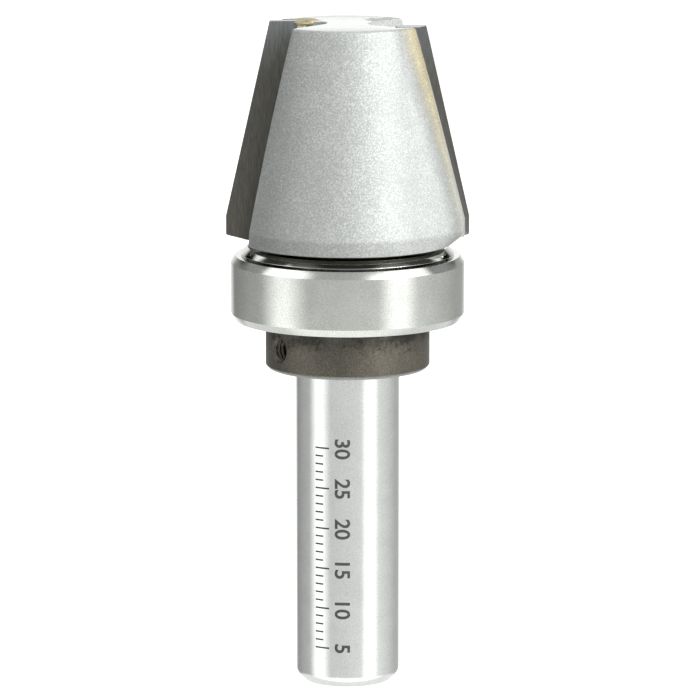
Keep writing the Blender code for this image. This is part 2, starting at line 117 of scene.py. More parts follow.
class FluteSizes(bpy.types.PropertyGroup):
    """The gullets and the tips' seats"""

    top_edge: FloatVectorProperty(
        name="Top edge", default=(0.0067, 0.0061), size=2, subtype="XYZ_LENGTH", unit="LENGTH",
        description="Where the far wall meets the land, at the top",
    )
    base_edge: FloatVectorProperty(
        name="Base edge", default=(0.0121, 0.0041), size=2, subtype="XYZ_LENGTH", unit="LENGTH",
        description="Where the far wall meets the land, at the base",
    )
    top_slope: angle("Top slope", 53, "The far wall's direction in plan, at the top")
    base_slope: angle("Base slope", 50, "The far wall's direction in plan, at the base")
    top_root: length("Top root", 0.00255, "The radius of the gullet's root at the top")
    base_root: length("Base root", 0.0012, "The radius of the gullet's root at the base")
    taper: angle("Taper", 12.75, "Of the cutting edge, seen square to the tip's face")
    lean: angle("Lean", 5.6, "How far the tip leans back as it rises")
    hook: angle("Hook", 3, "How far the tip's face hooks back as it runs in")
    relief: angle("Relief", 10, "The clearance of the ground flank")
    tip_width: length("Tip width", 0.0036, "Across the tip's face")
    tip_thickness: length("Tip thickness", 0.0021, "From the tip's face to its back")
    tip_step: length("Tip step", 0.00012, "How far the tip stands in front of the gullet's wall")
    foot_height: length("Tip foot", 0.0009, "From the head's base to the tip's outer corner")
    straight_height: length("Straight edge", 0.00235, "The straight edge under the taper")
    braze: length("Braze", 0.00014, "The braze behind and beside a tip")
    bead_foot: length("Bead foot", 0.0005, "Width of the bead of braze beside a tip, at its foot")
    bead_top: length("Bead top", 0.0011, "Width of the bead of braze beside a tip, at its top")
    pool: FloatVectorProperty(
        name="Braze pool", default=(0.00215, 0.00125, 0.00046), size=3, subtype="XYZ_LENGTH", unit="LENGTH",
        description="Half the width, depth and height of the pool of braze at a tip's upper inner corner",
    )


class ShankSizes(bpy.types.PropertyGroup):
    """The shank and the neck above the washer"""

    diameter: length("Diameter", 0.0127, "Of the shank")
    end_bevel: length("End bevel", 0.00098, "At the shank's lower end")
    neck_diameter: length("Neck diameter", 0.0168, "Of the neck between washer and head")
    neck_length: length("Neck length", 0.0004, "Of the neck between washer and head")
    fit: length("Fit", 0.00003, "Between the shank and what slides on it")


class BearingSizes(bpy.types.PropertyGroup):
    """The bearing's ring and shields, and the washer over it"""

    ball_ratio: ratio("Ball ratio", 0.6, "A ball's diameter against the depth from bore to outside")
    land_ratio: ratio("Land ratio", 0.6, "From the balls' circle to a ring's land, against a ball's radius")
    seat_ratio: ratio("Seat ratio", 0.3, "From a land to the shields' seat, against a ball's radius")
    groove_ratio: ratio("Groove ratio", 1.04, "The groove's radius against a ball's")
    race_clearance: length("Race clearance", 0.00004, "Between a ball and the bottom of its groove")
    edge_height: length("Edge height", 0.0009, "Of the ring's bevelled corner")
    edge_depth: length("Edge depth", 0.00055, "Of the ring's bevelled corner")
    shield_sheet: length("Shield sheet", 0.0003, "Thickness of a pressed shield")
    shield_recess: length("Shield recess", 0.00022, "From the ring's face in to the shield")
    washer_bevel: length("Washer bevel", 0.00082, "Of the washer's upper edge")
    washer_boss: length("Washer boss", 0.0002, "Lifts the washer clear of the turning ring")
    washer_round: length("Washer rounding", 0.00002, "Of the washer's corners")


class CollarSizes(bpy.types.PropertyGroup):
    """The lock collar and its set screw"""

    edge_bevel: length("Edge bevel", 0.0004, "Of the collar's edges")
    screw_angle: angle("Screw angle", 214, "Seen from above, counted from +X")
    screw_diameter: length("Screw diameter", 0.0029, "Over the thread")
    screw_length: length("Screw length", 0.002, "From its point to its socket")
    screw_socket: length("Socket", 0.0013, "Across the flats of its hexagon")
    thread_pitch: length("Thread pitch", 0.0005, "From crest to crest")
    thread_depth: length("Thread depth", 0.00024, "From crest to root")
    screw_fit: length("Screw fit", 0.00005, "Between the screw and its hole")
    countersink: length("Countersink", 0.00018, "Of the threaded hole")
    edge_round: length("Edge rounding", 0.00012, "Of the bevels' corners")


class GraduationSizes(bpy.types.PropertyGroup):
    """The depth graduations etched in the shank"""

    count: IntProperty(name="Marks", default=26, min=2, description="How many marks the scale has")
    numbered: IntProperty(name="Numbered", default=5, min=1, description="Marks from one number to the next")
    pitch: length("Pitch", 0.001, "From mark to mark")
    start: length("Start", 0.005, "Height of the first mark")
    short_mark: length("Short mark", 0.0011, "Length round the shank")
    long_mark: length("Long mark", 0.0019, "Length round the shank, where it has a number")
    line_width: length("Line width", 0.0002, "Of a mark")
    raised: length("Raised", 0.00001, "How far the etched skin stands proud")
    angle: angle("Angle", 232, "Where the scale's line runs down the shank, seen from above")
    number_size: length("Number size", 0.0026, "Height of a number's letters")
    number_cuts: IntProperty(
        name="Number cuts", default=16, min=2, description="Cuts that let a number follow the shank's curve",
    )


class Finishes(bpy.types.PropertyGroup):
    """Colours of the materials"""

    paint: colour("Paint", (0.55, 0.575, 0.55), "The head's silver paint")
    paint_flake: colour("Paint flake", (0.90, 0.92, 0.91), "The bright flakes in it")
    heat_tint: colour("Heat tint", (1.0, 0.87, 0.61), "What heat leaves of the paint's colour behind a tip")
    ground_steel: colour("Ground steel", (0.93, 0.955, 0.93), "The shank and the ground pads")
    ring_steel: colour("Ring steel", (0.80, 0.825, 0.775), "The bearing's rings and the washer")
    # Painted shade: a near-black steel on the underside and neck stands in for the dark gap over the washer.
    bare_steel: colour("Bare steel", (0.07, 0.068, 0.056), "The head's dark, unpainted underside and neck")
    pressed_steel: colour("Pressed steel", (0.55, 0.55, 0.54), "Shields and cage")
    black_oxide: colour("Black oxide", (0.106, 0.101, 0.085), "The collar")
    oxide_wear: colour("Oxide wear", (0.20, 0.172, 0.126), "Where the collar's black has worn brown")
    carbide: colour("Carbide", (0.142, 0.139, 0.124), "The tips")
    # Painted reflection: the colour that makes the tips lighter and bluer near the top.
    carbide_tint: colour("Carbide tint", (0.21, 0.229, 0.227), "The tips near the top")
    braze: colour("Braze", (0.84, 0.77, 0.50), "The silver braze")
    braze_copper: colour("Copper in the braze", (0.82, 0.58, 0.42), "Where the braze shows copper")
    etched: colour("Etched", (0.07, 0.07, 0.07), "The graduations")


class StageSettings(bpy.types.PropertyGroup):
    """Camera, floor and lamps"""

    camera_distance: length("Camera distance", 0.6056, "From the bit's axis")
    camera_height: length("Camera height", 0.14987, "Above the floor")
    camera_side: length("Camera side", 0.00029, "To the right of the bit's axis")
    camera_tilt: angle("Camera tilt", 10.178, "Down from level")
    lens: FloatProperty(name="Lens", default=257.95, min=1, unit="CAMERA", description="Focal length")
    key_power: power("Key", 6.75, "The large lamp on the right")
    fill_power: power("Fill", 1.8, "The lamp behind, on the left")
    top_power: power("Top", 3.0, "The lamp overhead")
    soft_light: ratio("Soft light", 0.03, "The tent's own light on the bit")
    floor_glow: ratio("Floor glow", 0.82, "What lifts the floor to white for the camera")


class RouterBitSettings(bpy.types.PropertyGroup):
    """Everything that the operators read"""

    head: PointerProperty(type=HeadSizes)
    flute: PointerProperty(type=FluteSizes)
    shank: PointerProperty(type=ShankSizes)
    bearing: PointerProperty(type=BearingSizes)
    collar: PointerProperty(type=CollarSizes)
    graduations: PointerProperty(type=GraduationSizes)
    finishes: PointerProperty(type=Finishes)
    stage: PointerProperty(type=StageSettings)


# Meshes

def new_piece(name, bm, *materials):
    """Makes a closed mesh an object, smooth up to its edges, with its place in its mesh."""
    bmesh.ops.remove_doubles(bm, verts=bm.verts, dist=1e-7)
    bmesh.ops.recalc_face_normals(bm, faces=bm.faces)
    mesh = bpy.data.meshes.new(name)
    bm.to_mesh(mesh)
    bm.free()
    for finish in materials:
        mesh.materials.append(finish)
    mesh.shade_smooth()
    mesh.set_sharp_from_angle(angle=SHARP_ANGLE)
    made = bpy.data.objects.new(name, mesh)
    bpy.context.scene.collection.objects.link(made)
    return made


def turned(profile, segments=ROUND_SEGMENTS, closed=True):
    """Spins a profile of (radius, height) points once round Z."""
    bm = bmesh.new()
    points = [bm.verts.new((radius, 0, height)) for radius, height in profile]
    followers = points[1:] + points[:1] if closed else points[1:]
    edges = [bm.edges.new(pair) for pair in zip(points, followers)]
    bmesh.ops.spin(bm, geom=points + edges, cent=(0, 0, 0), axis=(0, 0, 1), angle=math.tau, steps=segments)
    return bm


def bridged(bm, rings):
    """Joins rings of equal point counts with quads."""
    for ring, follower in zip(rings, rings[1:]):
        for index in range(len(ring)):
            after = (index + 1) % len(ring)
            bm.faces.new((ring[index], ring[after], follower[after], follower[index]))


def lofted(sections):
    """A closed body through sections of equal point counts, with flat ends."""
    bm = bmesh.new()
    rings = [[bm.verts.new(point) for point in section] for section in sections]
    bridged(bm, rings)
    bm.faces.new(rings[0])
    bm.faces.new(rings[-1])
    return bm


def arc(centre, radius, start, end, steps):
    return [
        Vector((centre[0] + radius * math.cos(turn), centre[1] + radius * math.sin(turn)))
        for turn in (start + (end - start) * step / steps for step in range(steps + 1))
    ]


def eased(before, corner, after, reach, steps):
    """Rounds a corner between its neighbours with a short curve."""
    start = corner + (before - corner).normalized() * reach
    end = corner + (after - corner).normalized() * reach
    curve = []
    for step in range(steps + 1):
        share = step / steps
        curve.append(start.lerp(corner, share).lerp(corner.lerp(end, share), share))
    return curve


def rounded_profile(profile, reach, steps=CURVE_STEPS):
    """A closed profile with every corner eased. Each reach is held under half of its shorter side."""
    points = [Vector(point) for point in profile]
    curve = []
    for index, corner in enumerate(points):
        before = points[index - 1]
        after = points[(index + 1) % len(points)]
        held = min(reach, 0.45 * (before - corner).length, 0.45 * (after - corner).length)
        curve += eased(before, corner, after, held, steps)
    return curve


def straight(start, end, steps):
    """Points after start, up to and with end."""
    return [start.lerp(end, (step + 1) / steps) for step in range(steps)]


def finished(made):
    """Applies an object's modifiers, and leaves a plain mesh on it."""
    graph = bpy.context.evaluated_depsgraph_get()
    mesh = bpy.data.meshes.new_from_object(made.evaluated_get(graph), depsgraph=graph)
    made.modifiers.clear()
    mesh.name = made.name
    made.data = mesh
    return made


def cut_away(body, *tools):
    """Takes closed tools out of a body, then removes them."""
    for tool in tools:
        boolean = body.modifiers.new(tool.name, "BOOLEAN")
        boolean.operation = "DIFFERENCE"
        boolean.solver = "EXACT"
        boolean.object = tool
    finished(body)
    for tool in tools:
        bpy.data.objects.remove(tool, do_unlink=True)
    body.data.shade_smooth()
    body.data.set_sharp_from_angle(angle=SHARP_ANGLE)
    return body


# The head's shape

def mixed(base, top, share):
    return base + (top - base) * share


def smooth_step(value):
    held = min(max(value, 0), 1)
    return held * held * (3 - 2 * held)


class HeadShape:
    """Where the head's walls stand, in the right flute's frame.

    Its cutting edge is towards +X, and what is behind the tip is towards -Y. The left flute is the same,
    half a turn round."""

    LAND_STEPS = 110
    WALL_STEPS = 8
    ROOT_STEPS = 12
    EASE_STEPS = 5
    EASED_POINTS = 3  # of the land, which lie within its eased edge
    TAPER_STEPS = 36
    BEAD_STEPS = 60
    BEAD_POINTS = 9
    OUTSIDE_THE_PAD = 1.0
    SEAT_ANGLE = math.radians(14)  # round the axis, ahead of the pad, where the tip sits

    def __init__(self, settings):
        self.head = settings.head
        self.flute = settings.flute
        self.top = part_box("cutter_body")[1].z
        self.base = self.top - self.head.length
        self.cutting_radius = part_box("carbide_tip_right")[1].x
        self.bend = self.base + self.flute.foot_height + self.flute.straight_height
        self.hook = math.tan(self.flute.hook)
        self.lean = math.tan(self.flute.lean)
        self.normal = Vector((-self.hook, 1, self.lean)).normalized()

    def plane_y(self, x, z, depth):
        """Where the plane at this depth behind the tip's face stands at (x, z)."""
        face = (x - self.cutting_radius) * self.hook - (z - self.bend) * self.lean
        return face - depth / self.normal.y

    def edge_x(self, z):
        return self.cutting_radius - max(z - self.bend, 0) * math.tan(self.flute.taper)

    def tip_inner_x(self, z):
        return self.cutting_radius - self.flute.tip_width - (z - self.bend) * math.tan(self.flute.taper)

    def heel_radius(self, z):
        x = self.edge_x(z)
        drop = self.flute.tip_thickness * math.tan(self.flute.relief)
        return math.hypot(x, self.plane_y(x, z, 0)) - drop

    def seat_angle(self, z, depth):
        """The angle round the axis at which a plane behind the face meets the flank."""
        radius = self.heel_radius(z)
        return math.asin(self.plane_y(radius, z, depth) / radius)

    def land_radius(self, z):
        base = self.head.base_diameter / 2
        share = max(z - self.base - self.head.band_height, 0) / (self.head.length - self.head.band_height)
        return mixed(base, self.head.top_diameter / 2, share)

    def rim_drop(self, z):
        """What the rounded top rim and base edge take off the radius."""
        over = max(z - (self.top - self.head.rim_round), 0) / self.head.rim_round
        under = max(self.base + self.head.base_round - z, 0) / self.head.base_round
        drop = self.head.rim_round * (1 - math.sqrt(max(1 - over * over, 0)))
        return drop + self.head.base_round * (1 - math.sqrt(max(1 - under * under, 0)))

    def surface_radius(self, turn, z):
        """The land, rising to the ground pad behind either tip."""
        behind = (self.seat_angle(z, self.flute.tip_thickness) - turn) % math.pi
        land = self.land_radius(z)
        if behind > math.pi - self.SEAT_ANGLE:
            behind = 0
        ground = self.heel_radius(z) * (1 - behind * math.tan(self.flute.relief))
        sunk = smooth_step((behind - self.head.pad_ground) / self.head.pad_blend)
        raised = max(ground + (land - ground) * sunk - land, 0)
        risen = min((z - self.base) / self.head.pad_foot, 1)
        return land + raised * risen - self.rim_drop(z)

    def section(self, z):
        """Half of the head's section as (point, distance behind the heel): pocket, gullet, then land."""
        flute = self.flute
        share = (z - self.base) / self.head.length
        edge = Vector(flute.base_edge).lerp(Vector(flute.top_edge), share)
        slope = mixed(flute.base_slope, flute.top_slope, share)
        root = mixed(flute.base_root, flute.top_root, share)
        back = flute.tip_thickness + flute.braze
        seat = self.seat_angle(z, back)
        inner = self.tip_inner_x(z) - flute.braze
        outside = self.surface_radius(seat, z)
        pocket_mouth = Vector((outside * math.cos(seat), outside * math.sin(seat)))
        pocket_back = Vector((inner, self.plane_y(inner, z, back)))
        pocket_front = Vector((inner, self.plane_y(inner, z, flute.tip_step)))
        near = Vector((1, self.hook)).normalized()
        far = Vector((math.cos(slope), math.sin(slope)))
        # The walls cross where pocket_front - near * along reaches the far wall's line through edge.
        along = (edge - pocket_front).cross(far) / near.cross(far)
        corner = pocket_front + near * along
        half = (slope - flute.hook) / 2
        # The root's curve ends short of the tip's seat.
        root = min(root, ((pocket_front - corner).length - flute.tip_step) * math.tan(half))
        middle = corner + (near + far).normalized() * root / math.sin(half)
        curve = arc(middle, root, math.tau + flute.hook - math.pi / 2, slope + math.pi / 2, self.ROOT_STEPS)
        first = math.atan2(edge.y, edge.x)
        last = math.pi + seat
        turns = [mixed(first, last, step / self.LAND_STEPS) for step in range(self.LAND_STEPS)]
        land = [self.surface_radius(turn, z) * Vector((math.cos(turn), math.sin(turn))) for turn in turns]
        heel = self.seat_angle(z, flute.tip_thickness)
        behind = [abs(math.pi + heel - turn) * point.length for turn, point in zip(turns, land)]
        land_edge = eased(
            curve[-1], land[0], land[2 * self.EASED_POINTS], self.head.edge_round, self.EASE_STEPS
        )
        shoulder = eased(pocket_back, pocket_front, curve[0], flute.tip_step, self.EASE_STEPS)
        walls = [pocket_mouth]
        walls += straight(pocket_mouth, pocket_back, self.WALL_STEPS)
        walls += straight(pocket_back, shoulder[0], self.WALL_STEPS)
        walls += shoulder[1:]
        walls += straight(shoulder[-1], curve[0], self.WALL_STEPS)
        walls += curve[1:]
        walls += straight(curve[-1], land_edge[0], self.WALL_STEPS)
        walls += land_edge[1:]
        marks = [0] + [self.OUTSIDE_THE_PAD] * (len(walls) - 1)
        return list(zip(walls + land[self.EASED_POINTS:], marks + behind[self.EASED_POINTS:]))

    def levels(self):
        """Heights of the sections, close together at the foot and the rims."""
        head = self.head
        foot = [self.base + head.base_round * share for share in (0, 0.15, 0.4, 0.7, 1)]
        foot += [self.base + mixed(head.base_round, head.pad_foot, share) for share in (0.33, 0.66, 1)]
        foot += [self.base + mixed(head.pad_foot, head.band_height, share) for share in (0.5, 1)]
        low = self.base + head.band_height
        high = self.top - head.rim_round
        taper = [low + (self.bend - low) * share for share in (0.33, 0.66, 1)]
        taper += [mixed(self.bend, high, (step + 1) / self.TAPER_STEPS) for step in range(self.TAPER_STEPS)]
        rim = [high + head.rim_round * math.sin(math.radians(turn)) for turn in (15, 30, 45, 60, 75, 90)]
        return foot + taper + rim


def full_section(shape, z):
    """Both halves of a section as (point, distance behind the heel)."""
    half = shape.section(z)
    return half + [(-point, behind) for point, behind in half]


def body_mesh(shape, shank):
    """Head, neck and shank as one closed body.

    Its first material is the head's, the second the shank's and the third the underside's."""
    bm = bmesh.new()
    behind_heel = bm.verts.layers.float.new("behind_heel")
    head_rings = []
    for z in shape.levels():
        ring = []
        for point, behind in full_section(shape, z):
            vertex = bm.verts.new((point.x, point.y, z))
            vertex[behind_heel] = behind
            ring.append(vertex)
        head_rings.append(ring)
    bridged(bm, head_rings)
    # The lowest rounding, which turns under, also gets the underside's painted shade.
    turned_under = shape.base + 0.3 * shape.head.base_round
    for face in bm.faces:
        if face.calc_center_median().z < turned_under:
            face.material_index = UNDERSIDE_SLOT
    bm.faces.new(head_rings[-1])
    radius = shank.diameter / 2
    neck = shank.neck_diameter / 2
    neck_base = shape.base - shank.neck_length
    profile = [(radius - shank.end_bevel, 0)]
    profile += eased(
        Vector((radius - shank.end_bevel, 0)), Vector((radius, shank.end_bevel)),
        Vector((radius, 3 * shank.end_bevel)), shank.end_bevel / 2, shape.EASE_STEPS,
    )
    profile += [(radius, neck_base * share) for share in (0.25, 0.5, 0.75, 1)]
    profile += [(neck, neck_base), (neck, shape.base)]
    turns = [math.tau * step / ROUND_SEGMENTS for step in range(ROUND_SEGMENTS)]
    rings = []
    for out, z in profile:
        rings.append([bm.verts.new((out * math.cos(turn), out * math.sin(turn), z)) for turn in turns])
        for vertex in rings[-1]:
            vertex[behind_heel] = shape.OUTSIDE_THE_PAD
    before = set(bm.faces)
    bridged(bm, rings)
    bm.faces.new(rings[0])
    for face in set(bm.faces) - before:
        is_neck = face.calc_center_median().z > neck_base - shank.fit
        face.material_index = UNDERSIDE_SLOT if is_neck else SHANK_SLOT
    rims = []
    for ring in (head_rings[0], rings[-1]):
        rims += [bm.edges.get((ring[index - 1], ring[index])) for index in range(len(ring))]
    underside = bmesh.ops.triangle_fill(bm, edges=rims, use_beauty=True, use_dissolve=False)["geom"]
    for part in underside:
        if isinstance(part, bmesh.types.BMFace):
            part.material_index = UNDERSIDE_SLOT
    return bm


def bead_sections(shape, side):
    """The braze that ran out along a tip's inner edge, onto the gullet's wall."""
    flute = shape.flute
    sections = []
    for step in range(shape.BEAD_STEPS + 1):
        share = step / shape.BEAD_STEPS
        z = mixed(shape.base + flute.foot_height, shape.top - SUNK, share)
        ripple = noise.noise(Vector((side * 7.3, 0, z * RIPPLES)))
        width = mixed(flute.bead_foot, flute.bead_top, share) * (1 + 0.35 * ripple)
        height = flute.tip_step * (1.1 + 0.3 * ripple)
        start = shape.tip_inner_x(z) + SUNK
        under = []
        over = []
        for index in range(shape.BEAD_POINTS + 1):
            spot = index / shape.BEAD_POINTS
            x = start - width * spot
            rise = height * (1 - spot * spot)
            under.append(Vector((x, shape.plane_y(x, z, flute.tip_step + SUNK), z)))
            over.append(Vector((x, shape.plane_y(x, z, flute.tip_step - rise), z)))
        sections.append([Vector((side * p.x, side * p.y, p.z)) for p in under + over[::-1]])
    return sections


def add_pool(bm, shape, side, share):
    """The lump where the braze ran together, at the tip's upper inner corner. It stands proud of the wall."""
    flute = shape.flute
    inwards = 0.36 * flute.pool[0]
    behind_face = 0.62 * flute.pool[1]
    below_top = (1.4 - 0.85 * share) * flute.pool[2]
    x = shape.tip_inner_x(shape.top) - inwards
    centre = Vector((x, shape.plane_y(x, shape.top, behind_face), shape.top - below_top))
    made = bmesh.ops.create_icosphere(bm, subdivisions=5, radius=1)
    for vertex in made["verts"]:
        coarse = noise.noise(vertex.co * 2.3 + Vector((side * 5, 0, 0)))
        lumps = 1 + 0.16 * coarse + 0.05 * noise.noise(vertex.co * 7)
        point = centre + Vector([part * half * lumps * share for part, half in zip(vertex.co, flute.pool)])
        vertex.co = (side * point.x, side * point.y, point.z)


# The screw's shapes

def screw_frame(collar_box, collar):
    """Turns +Z to the screw's way out of the collar, from a point on the bit's axis."""
    outwards = Vector((math.cos(collar.screw_angle), math.sin(collar.screw_angle), 0))
    turn = outwards.to_track_quat("Z", "X").to_matrix().to_4x4()
    return Matrix.Translation((0, 0, (collar_box[0].z + collar_box[1].z) / 2)) @ turn


def thread_mesh(crest, depth, pitch, start, end, round_steps=56, steps_per_pitch=10, steepness=1.15):
    """A closed threaded rod from start to end along Z. A steepness over 1 leaves its root flat."""
    bm = bmesh.new()
    count = math.ceil((end - start) / pitch * steps_per_pitch)
    rings = []
    for level in range(count + 1):
        z = start + (end - start) * level / count
        ring = []
        for step in range(round_steps):
            phase = (z / pitch - step / round_steps) % 1
            radius = crest - depth * min(abs(2 * phase - 1) * steepness, 1)
            turn = math.tau * step / round_steps
            ring.append(bm.verts.new((radius * math.cos(turn), radius * math.sin(turn), z)))
        rings.append(ring)
    bridged(bm, rings)
    bm.faces.new(rings[0])
    bm.faces.new(rings[-1])
    return bm


# Node trees

def node(tree, kind, inputs=None, **settings):
    """Adds a node. Each input is a value or the socket that feeds it."""
    made = tree.nodes.new(kind)
    for name, value in settings.items():
        setattr(made, name, value)
    for name, value in (inputs or {}).items():
        if isinstance(value, bpy.types.NodeSocket):
            tree.links.new(value, made.inputs[name])
        else:
            made.inputs[name].default_value = value
    return made


def maths(tree, operation, first, second=0.0, clamp=False):
    made = node(tree, "ShaderNodeMath", {0: first, 1: second}, operation=operation, use_clamp=clamp)
    return made.outputs[0]


def plus(tree, first, second, clamp=False):
    return maths(tree, "ADD", first, second, clamp)


def minus(tree, first, second):
    return maths(tree, "SUBTRACT", first, second)


def times(tree, first, second):
    return maths(tree, "MULTIPLY", first, second)


def vectors(tree, operation, first, second=(0, 0, 0)):
    """Adds a sum of vectors. Its result is output 0, or "Value" where it is a length."""
    return node(tree, "ShaderNodeVectorMath", {0: first, 1: second}, operation=operation).outputs


def scaled(tree, vector, factor):
    return node(tree, "ShaderNodeVectorMath", {0: vector, "Scale": factor}, operation="SCALE").outputs[0]


def joined(tree, x=0.0, y=0.0, z=0.0):
    return node(tree, "ShaderNodeCombineXYZ", {"X": x, "Y": y, "Z": z}).outputs[0]


def split(tree, vector):
    return node(tree, "ShaderNodeSeparateXYZ", {"Vector": vector}).outputs


def ranged(tree, value, low, high, to_low=0.0, to_high=1.0):
    """Maps a value from one range to another, held at both ends."""
    made = node(
        tree, "ShaderNodeMapRange",
        {"Value": value, "From Min": low, "From Max": high, "To Min": to_low, "To Max": to_high},
    )
    return made.outputs["Result"]


def wavering(tree, value, low, high):
    """Spreads a noise's usual values over a range."""
    return ranged(tree, value, *NOISE_SPAN, low, high)


def window(tree, value, rise, fall, strength=1.0):
    """Full between two ramps, and nothing outside them."""
    return times(tree, ranged(tree, value, *rise), ranged(tree, value, *fall, strength, 0.0))


def blended(tree, share, first, second):
    """Mixes two colours."""
    made = node(tree, "ShaderNodeMix", data_type="RGBA")
    for socket, value in ((made.inputs["Factor"], share), (made.inputs[6], first), (made.inputs[7], second)):
        if isinstance(value, bpy.types.NodeSocket):
            tree.links.new(value, socket)
        else:
            socket.default_value = value
    return made.outputs[2]


def rgba(values, shade=1.0):
    return (*(shade * part for part in values), 1)


def grey(tone):
    return (tone, tone, tone, 1)


def object_point(tree, scale=(1, 1, 1)):
    coordinates = node(tree, "ShaderNodeTexCoord").outputs["Object"]
    return node(tree, "ShaderNodeMapping", {"Vector": coordinates, "Scale": scale}).outputs["Vector"]


def grain(tree, point, scale, detail=2.0, roughness=0.5):
    inputs = {"Vector": point, "Scale": scale, "Detail": detail, "Roughness": roughness}
    return node(tree, "ShaderNodeTexNoise", inputs).outputs["Fac"]


def bumped(tree, height, depth, strength=0.5):
    inputs = {"Height": height, "Distance": depth, "Strength": strength}
    return node(tree, "ShaderNodeBump", inputs).outputs[0]


def new_material(name):
    made = bpy.data.materials.new(name)
    made.use_nodes = True
    return made, made.node_tree, made.node_tree.nodes["Principled BSDF"]


def feed(tree, shader, **inputs):
    """Sets the shader's sockets, by their names with _ for a space."""
    for name, value in inputs.items():
        socket = shader.inputs[name.replace("_", " ")]
        if isinstance(value, bpy.types.NodeSocket):
            tree.links.new(value, socket)
        else:
            socket.default_value = value


# Finishes

FLAKE_SCALE = 9000.0
FLAKE_LEAN = 0.11  # how far a flake leans
BAND_PAINTED_SHADE = 0.81  # painted shade: the paint's tone on the band at the head's foot, against that above it
BAND_EDGE = 0.0002  # half the height over which it fades in
HEAT_WANDER = 0.0003  # how far the heat's marks stray
BURNT_REACH = 0.0043  # how far behind a tip the heat has marked the paint
BURNT_START = 0.7  # the paint's tone at the heel
BURNT_TONES = (  # its tone further behind
    (0.0007, 0.88), (0.0012, 1.0), (0.0017, 0.84), (0.0023, 0.74), (0.0030, 0.78), (0.0036, 0.88),
)
PAINT_LEFT = (0.0051, 0.0035)  # where paint is left on the top face
PAINT_TORN = 0.0012  # how ragged its edge is


def silver_paint(finishes, shape):
    """Sparkling silver paint. It feathers out in a heat tint over the bare ground strip behind each tip."""
    made, tree, shader = new_material("silver_paint")
    point = object_point(tree)
    height = split(tree, point)["Z"]
    flakes, finer = (
        node(tree, "ShaderNodeTexVoronoi", {"Vector": point, "Scale": scale}).outputs["Color"]
        for scale in (FLAKE_SCALE, 2 * FLAKE_SCALE)
    )
    wander = wavering(tree, grain(tree, point, 420.0, 4.0), -HEAT_WANDER, HEAT_WANDER)
    behind = node(tree, "ShaderNodeAttribute", attribute_name="behind_heel").outputs["Fac"]
    behind = plus(tree, behind, wander)
    tone = flaked_tone(tree, finishes, shape, point, height, flakes)
    tone, painted = heat_marks(tree, finishes, shape, tone, behind, height)
    bare = bare_top(tree, shape, point, height)
    tone = blended(tree, bare, tone, rgba(finishes.ground_steel))
    # Painted shadow in the gullet under each pool of braze.
    tone = burnt_flux(tree, finishes, shape, tone, point, wander)
    covered = times(tree, painted, minus(tree, 1.0, bare))
    bare_roughness = ranged(tree, bare, 0.0, 1.0, 0.3, 0.2)
    bare_metallic = ranged(tree, bare, 0.0, 1.0, 0.9, 0.65)
    feed(
        tree, shader, Base_Color=tone, Normal=leaning(tree, flakes, finer, times(tree, covered, FLAKE_LEAN)),
        Roughness=ranged(tree, covered, 0.0, 1.0, bare_roughness, 0.55),
        Metallic=ranged(tree, covered, 0.0, 1.0, bare_metallic, 0.2),
    )
    return made


def flaked_tone(tree, finishes, shape, point, height, flakes):
    """Bright flakes in a cloudy paint, with painted shade darkening the nearly straight band at the foot."""
    red = node(tree, "ShaderNodeSeparateColor", {"Color": flakes}).outputs["Red"]
    bright = ranged(tree, red, 0.3, 1.0, 0.0, 0.75)
    blotch = wavering(tree, grain(tree, point, 6000.0), -0.25, 0.30)
    cloud = ranged(tree, grain(tree, point, 260.0, 4.0), 0.35, 0.65, -0.08, 0.08)
    share = plus(tree, plus(tree, bright, blotch), cloud, clamp=True)
    paint = blended(tree, share, rgba(finishes.paint), rgba(finishes.paint_flake))
    # Painted shade: the nearly straight band at the foot is darker than the taper above it.
    crease = shape.base + shape.head.band_height
    return scaled(tree, paint, ranged(tree, height, crease - BAND_EDGE, crease + BAND_EDGE, BAND_PAINTED_SHADE, 1.0))


def heat_marks(tree, finishes, shape, paint, behind, height):
    """The burnt paint behind a tip: a cream line, then a duller band. Next to the tip the steel is bare.

    Returns the tone and how much of it is paint."""
    burnt = node(tree, "ShaderNodeValToRGB", {"Fac": maths(tree, "DIVIDE", behind, BURNT_REACH)})
    stops = burnt.color_ramp.elements
    stops[0].color = grey(BURNT_START)
    for distance, tone in BURNT_TONES:
        stops.new(distance / BURNT_REACH).color = grey(tone)
    paint = vectors(tree, "MULTIPLY", paint, burnt.outputs["Color"])[0]
    bare_strip = ranged(tree, height, shape.base, shape.top, 0.0010, -0.0003)
    painted = ranged(tree, minus(tree, behind, bare_strip), -0.0003, 0.0002)
    higher = ranged(tree, height, shape.base, shape.base + 0.65 * shape.head.length, 0.12, 1.0)
    tinted = times(tree, ranged(tree, behind, 0.0012, 0.0029, 1.0, 0.0), higher)
    tint = blended(tree, tinted, grey(1.0), rgba(finishes.heat_tint))
    tone = vectors(tree, "MULTIPLY", paint, tint)[0]
    return blended(tree, painted, rgba(finishes.ground_steel), tone), painted


def bare_top(tree, shape, point, height):
    """Where the top face is ground bright. A little of the paint is left on one side."""
    away = vectors(tree, "DISTANCE", point, (*PAINT_LEFT, shape.top))["Value"]
    ragged = plus(tree, away, wavering(tree, grain(tree, point, 900.0, 3.0), -PAINT_TORN, PAINT_TORN))
    top = ranged(tree, height, shape.top - 0.00015, shape.top - 0.00002)
    return times(tree, top, ranged(tree, ragged, 0.0023, 0.0027))


def burnt_flux(tree, finishes, shape, tone, point, wander):
    """Painted shadow: the gullet's wall is painted dark under each pool of braze."""
    x = shape.tip_inner_x(shape.top) - 0.0004
    y = shape.plane_y(x, shape.top, 0)
    for side in (1, -1):
        away = vectors(tree, "DISTANCE", point, (side * x, side * y, shape.top - 0.0006))["Value"]
        dark = ranged(tree, plus(tree, away, wander), 0.0007, 0.0013, 0.93, 0.0)
        tone = blended(tree, dark, tone, rgba(finishes.etched))
    return tone


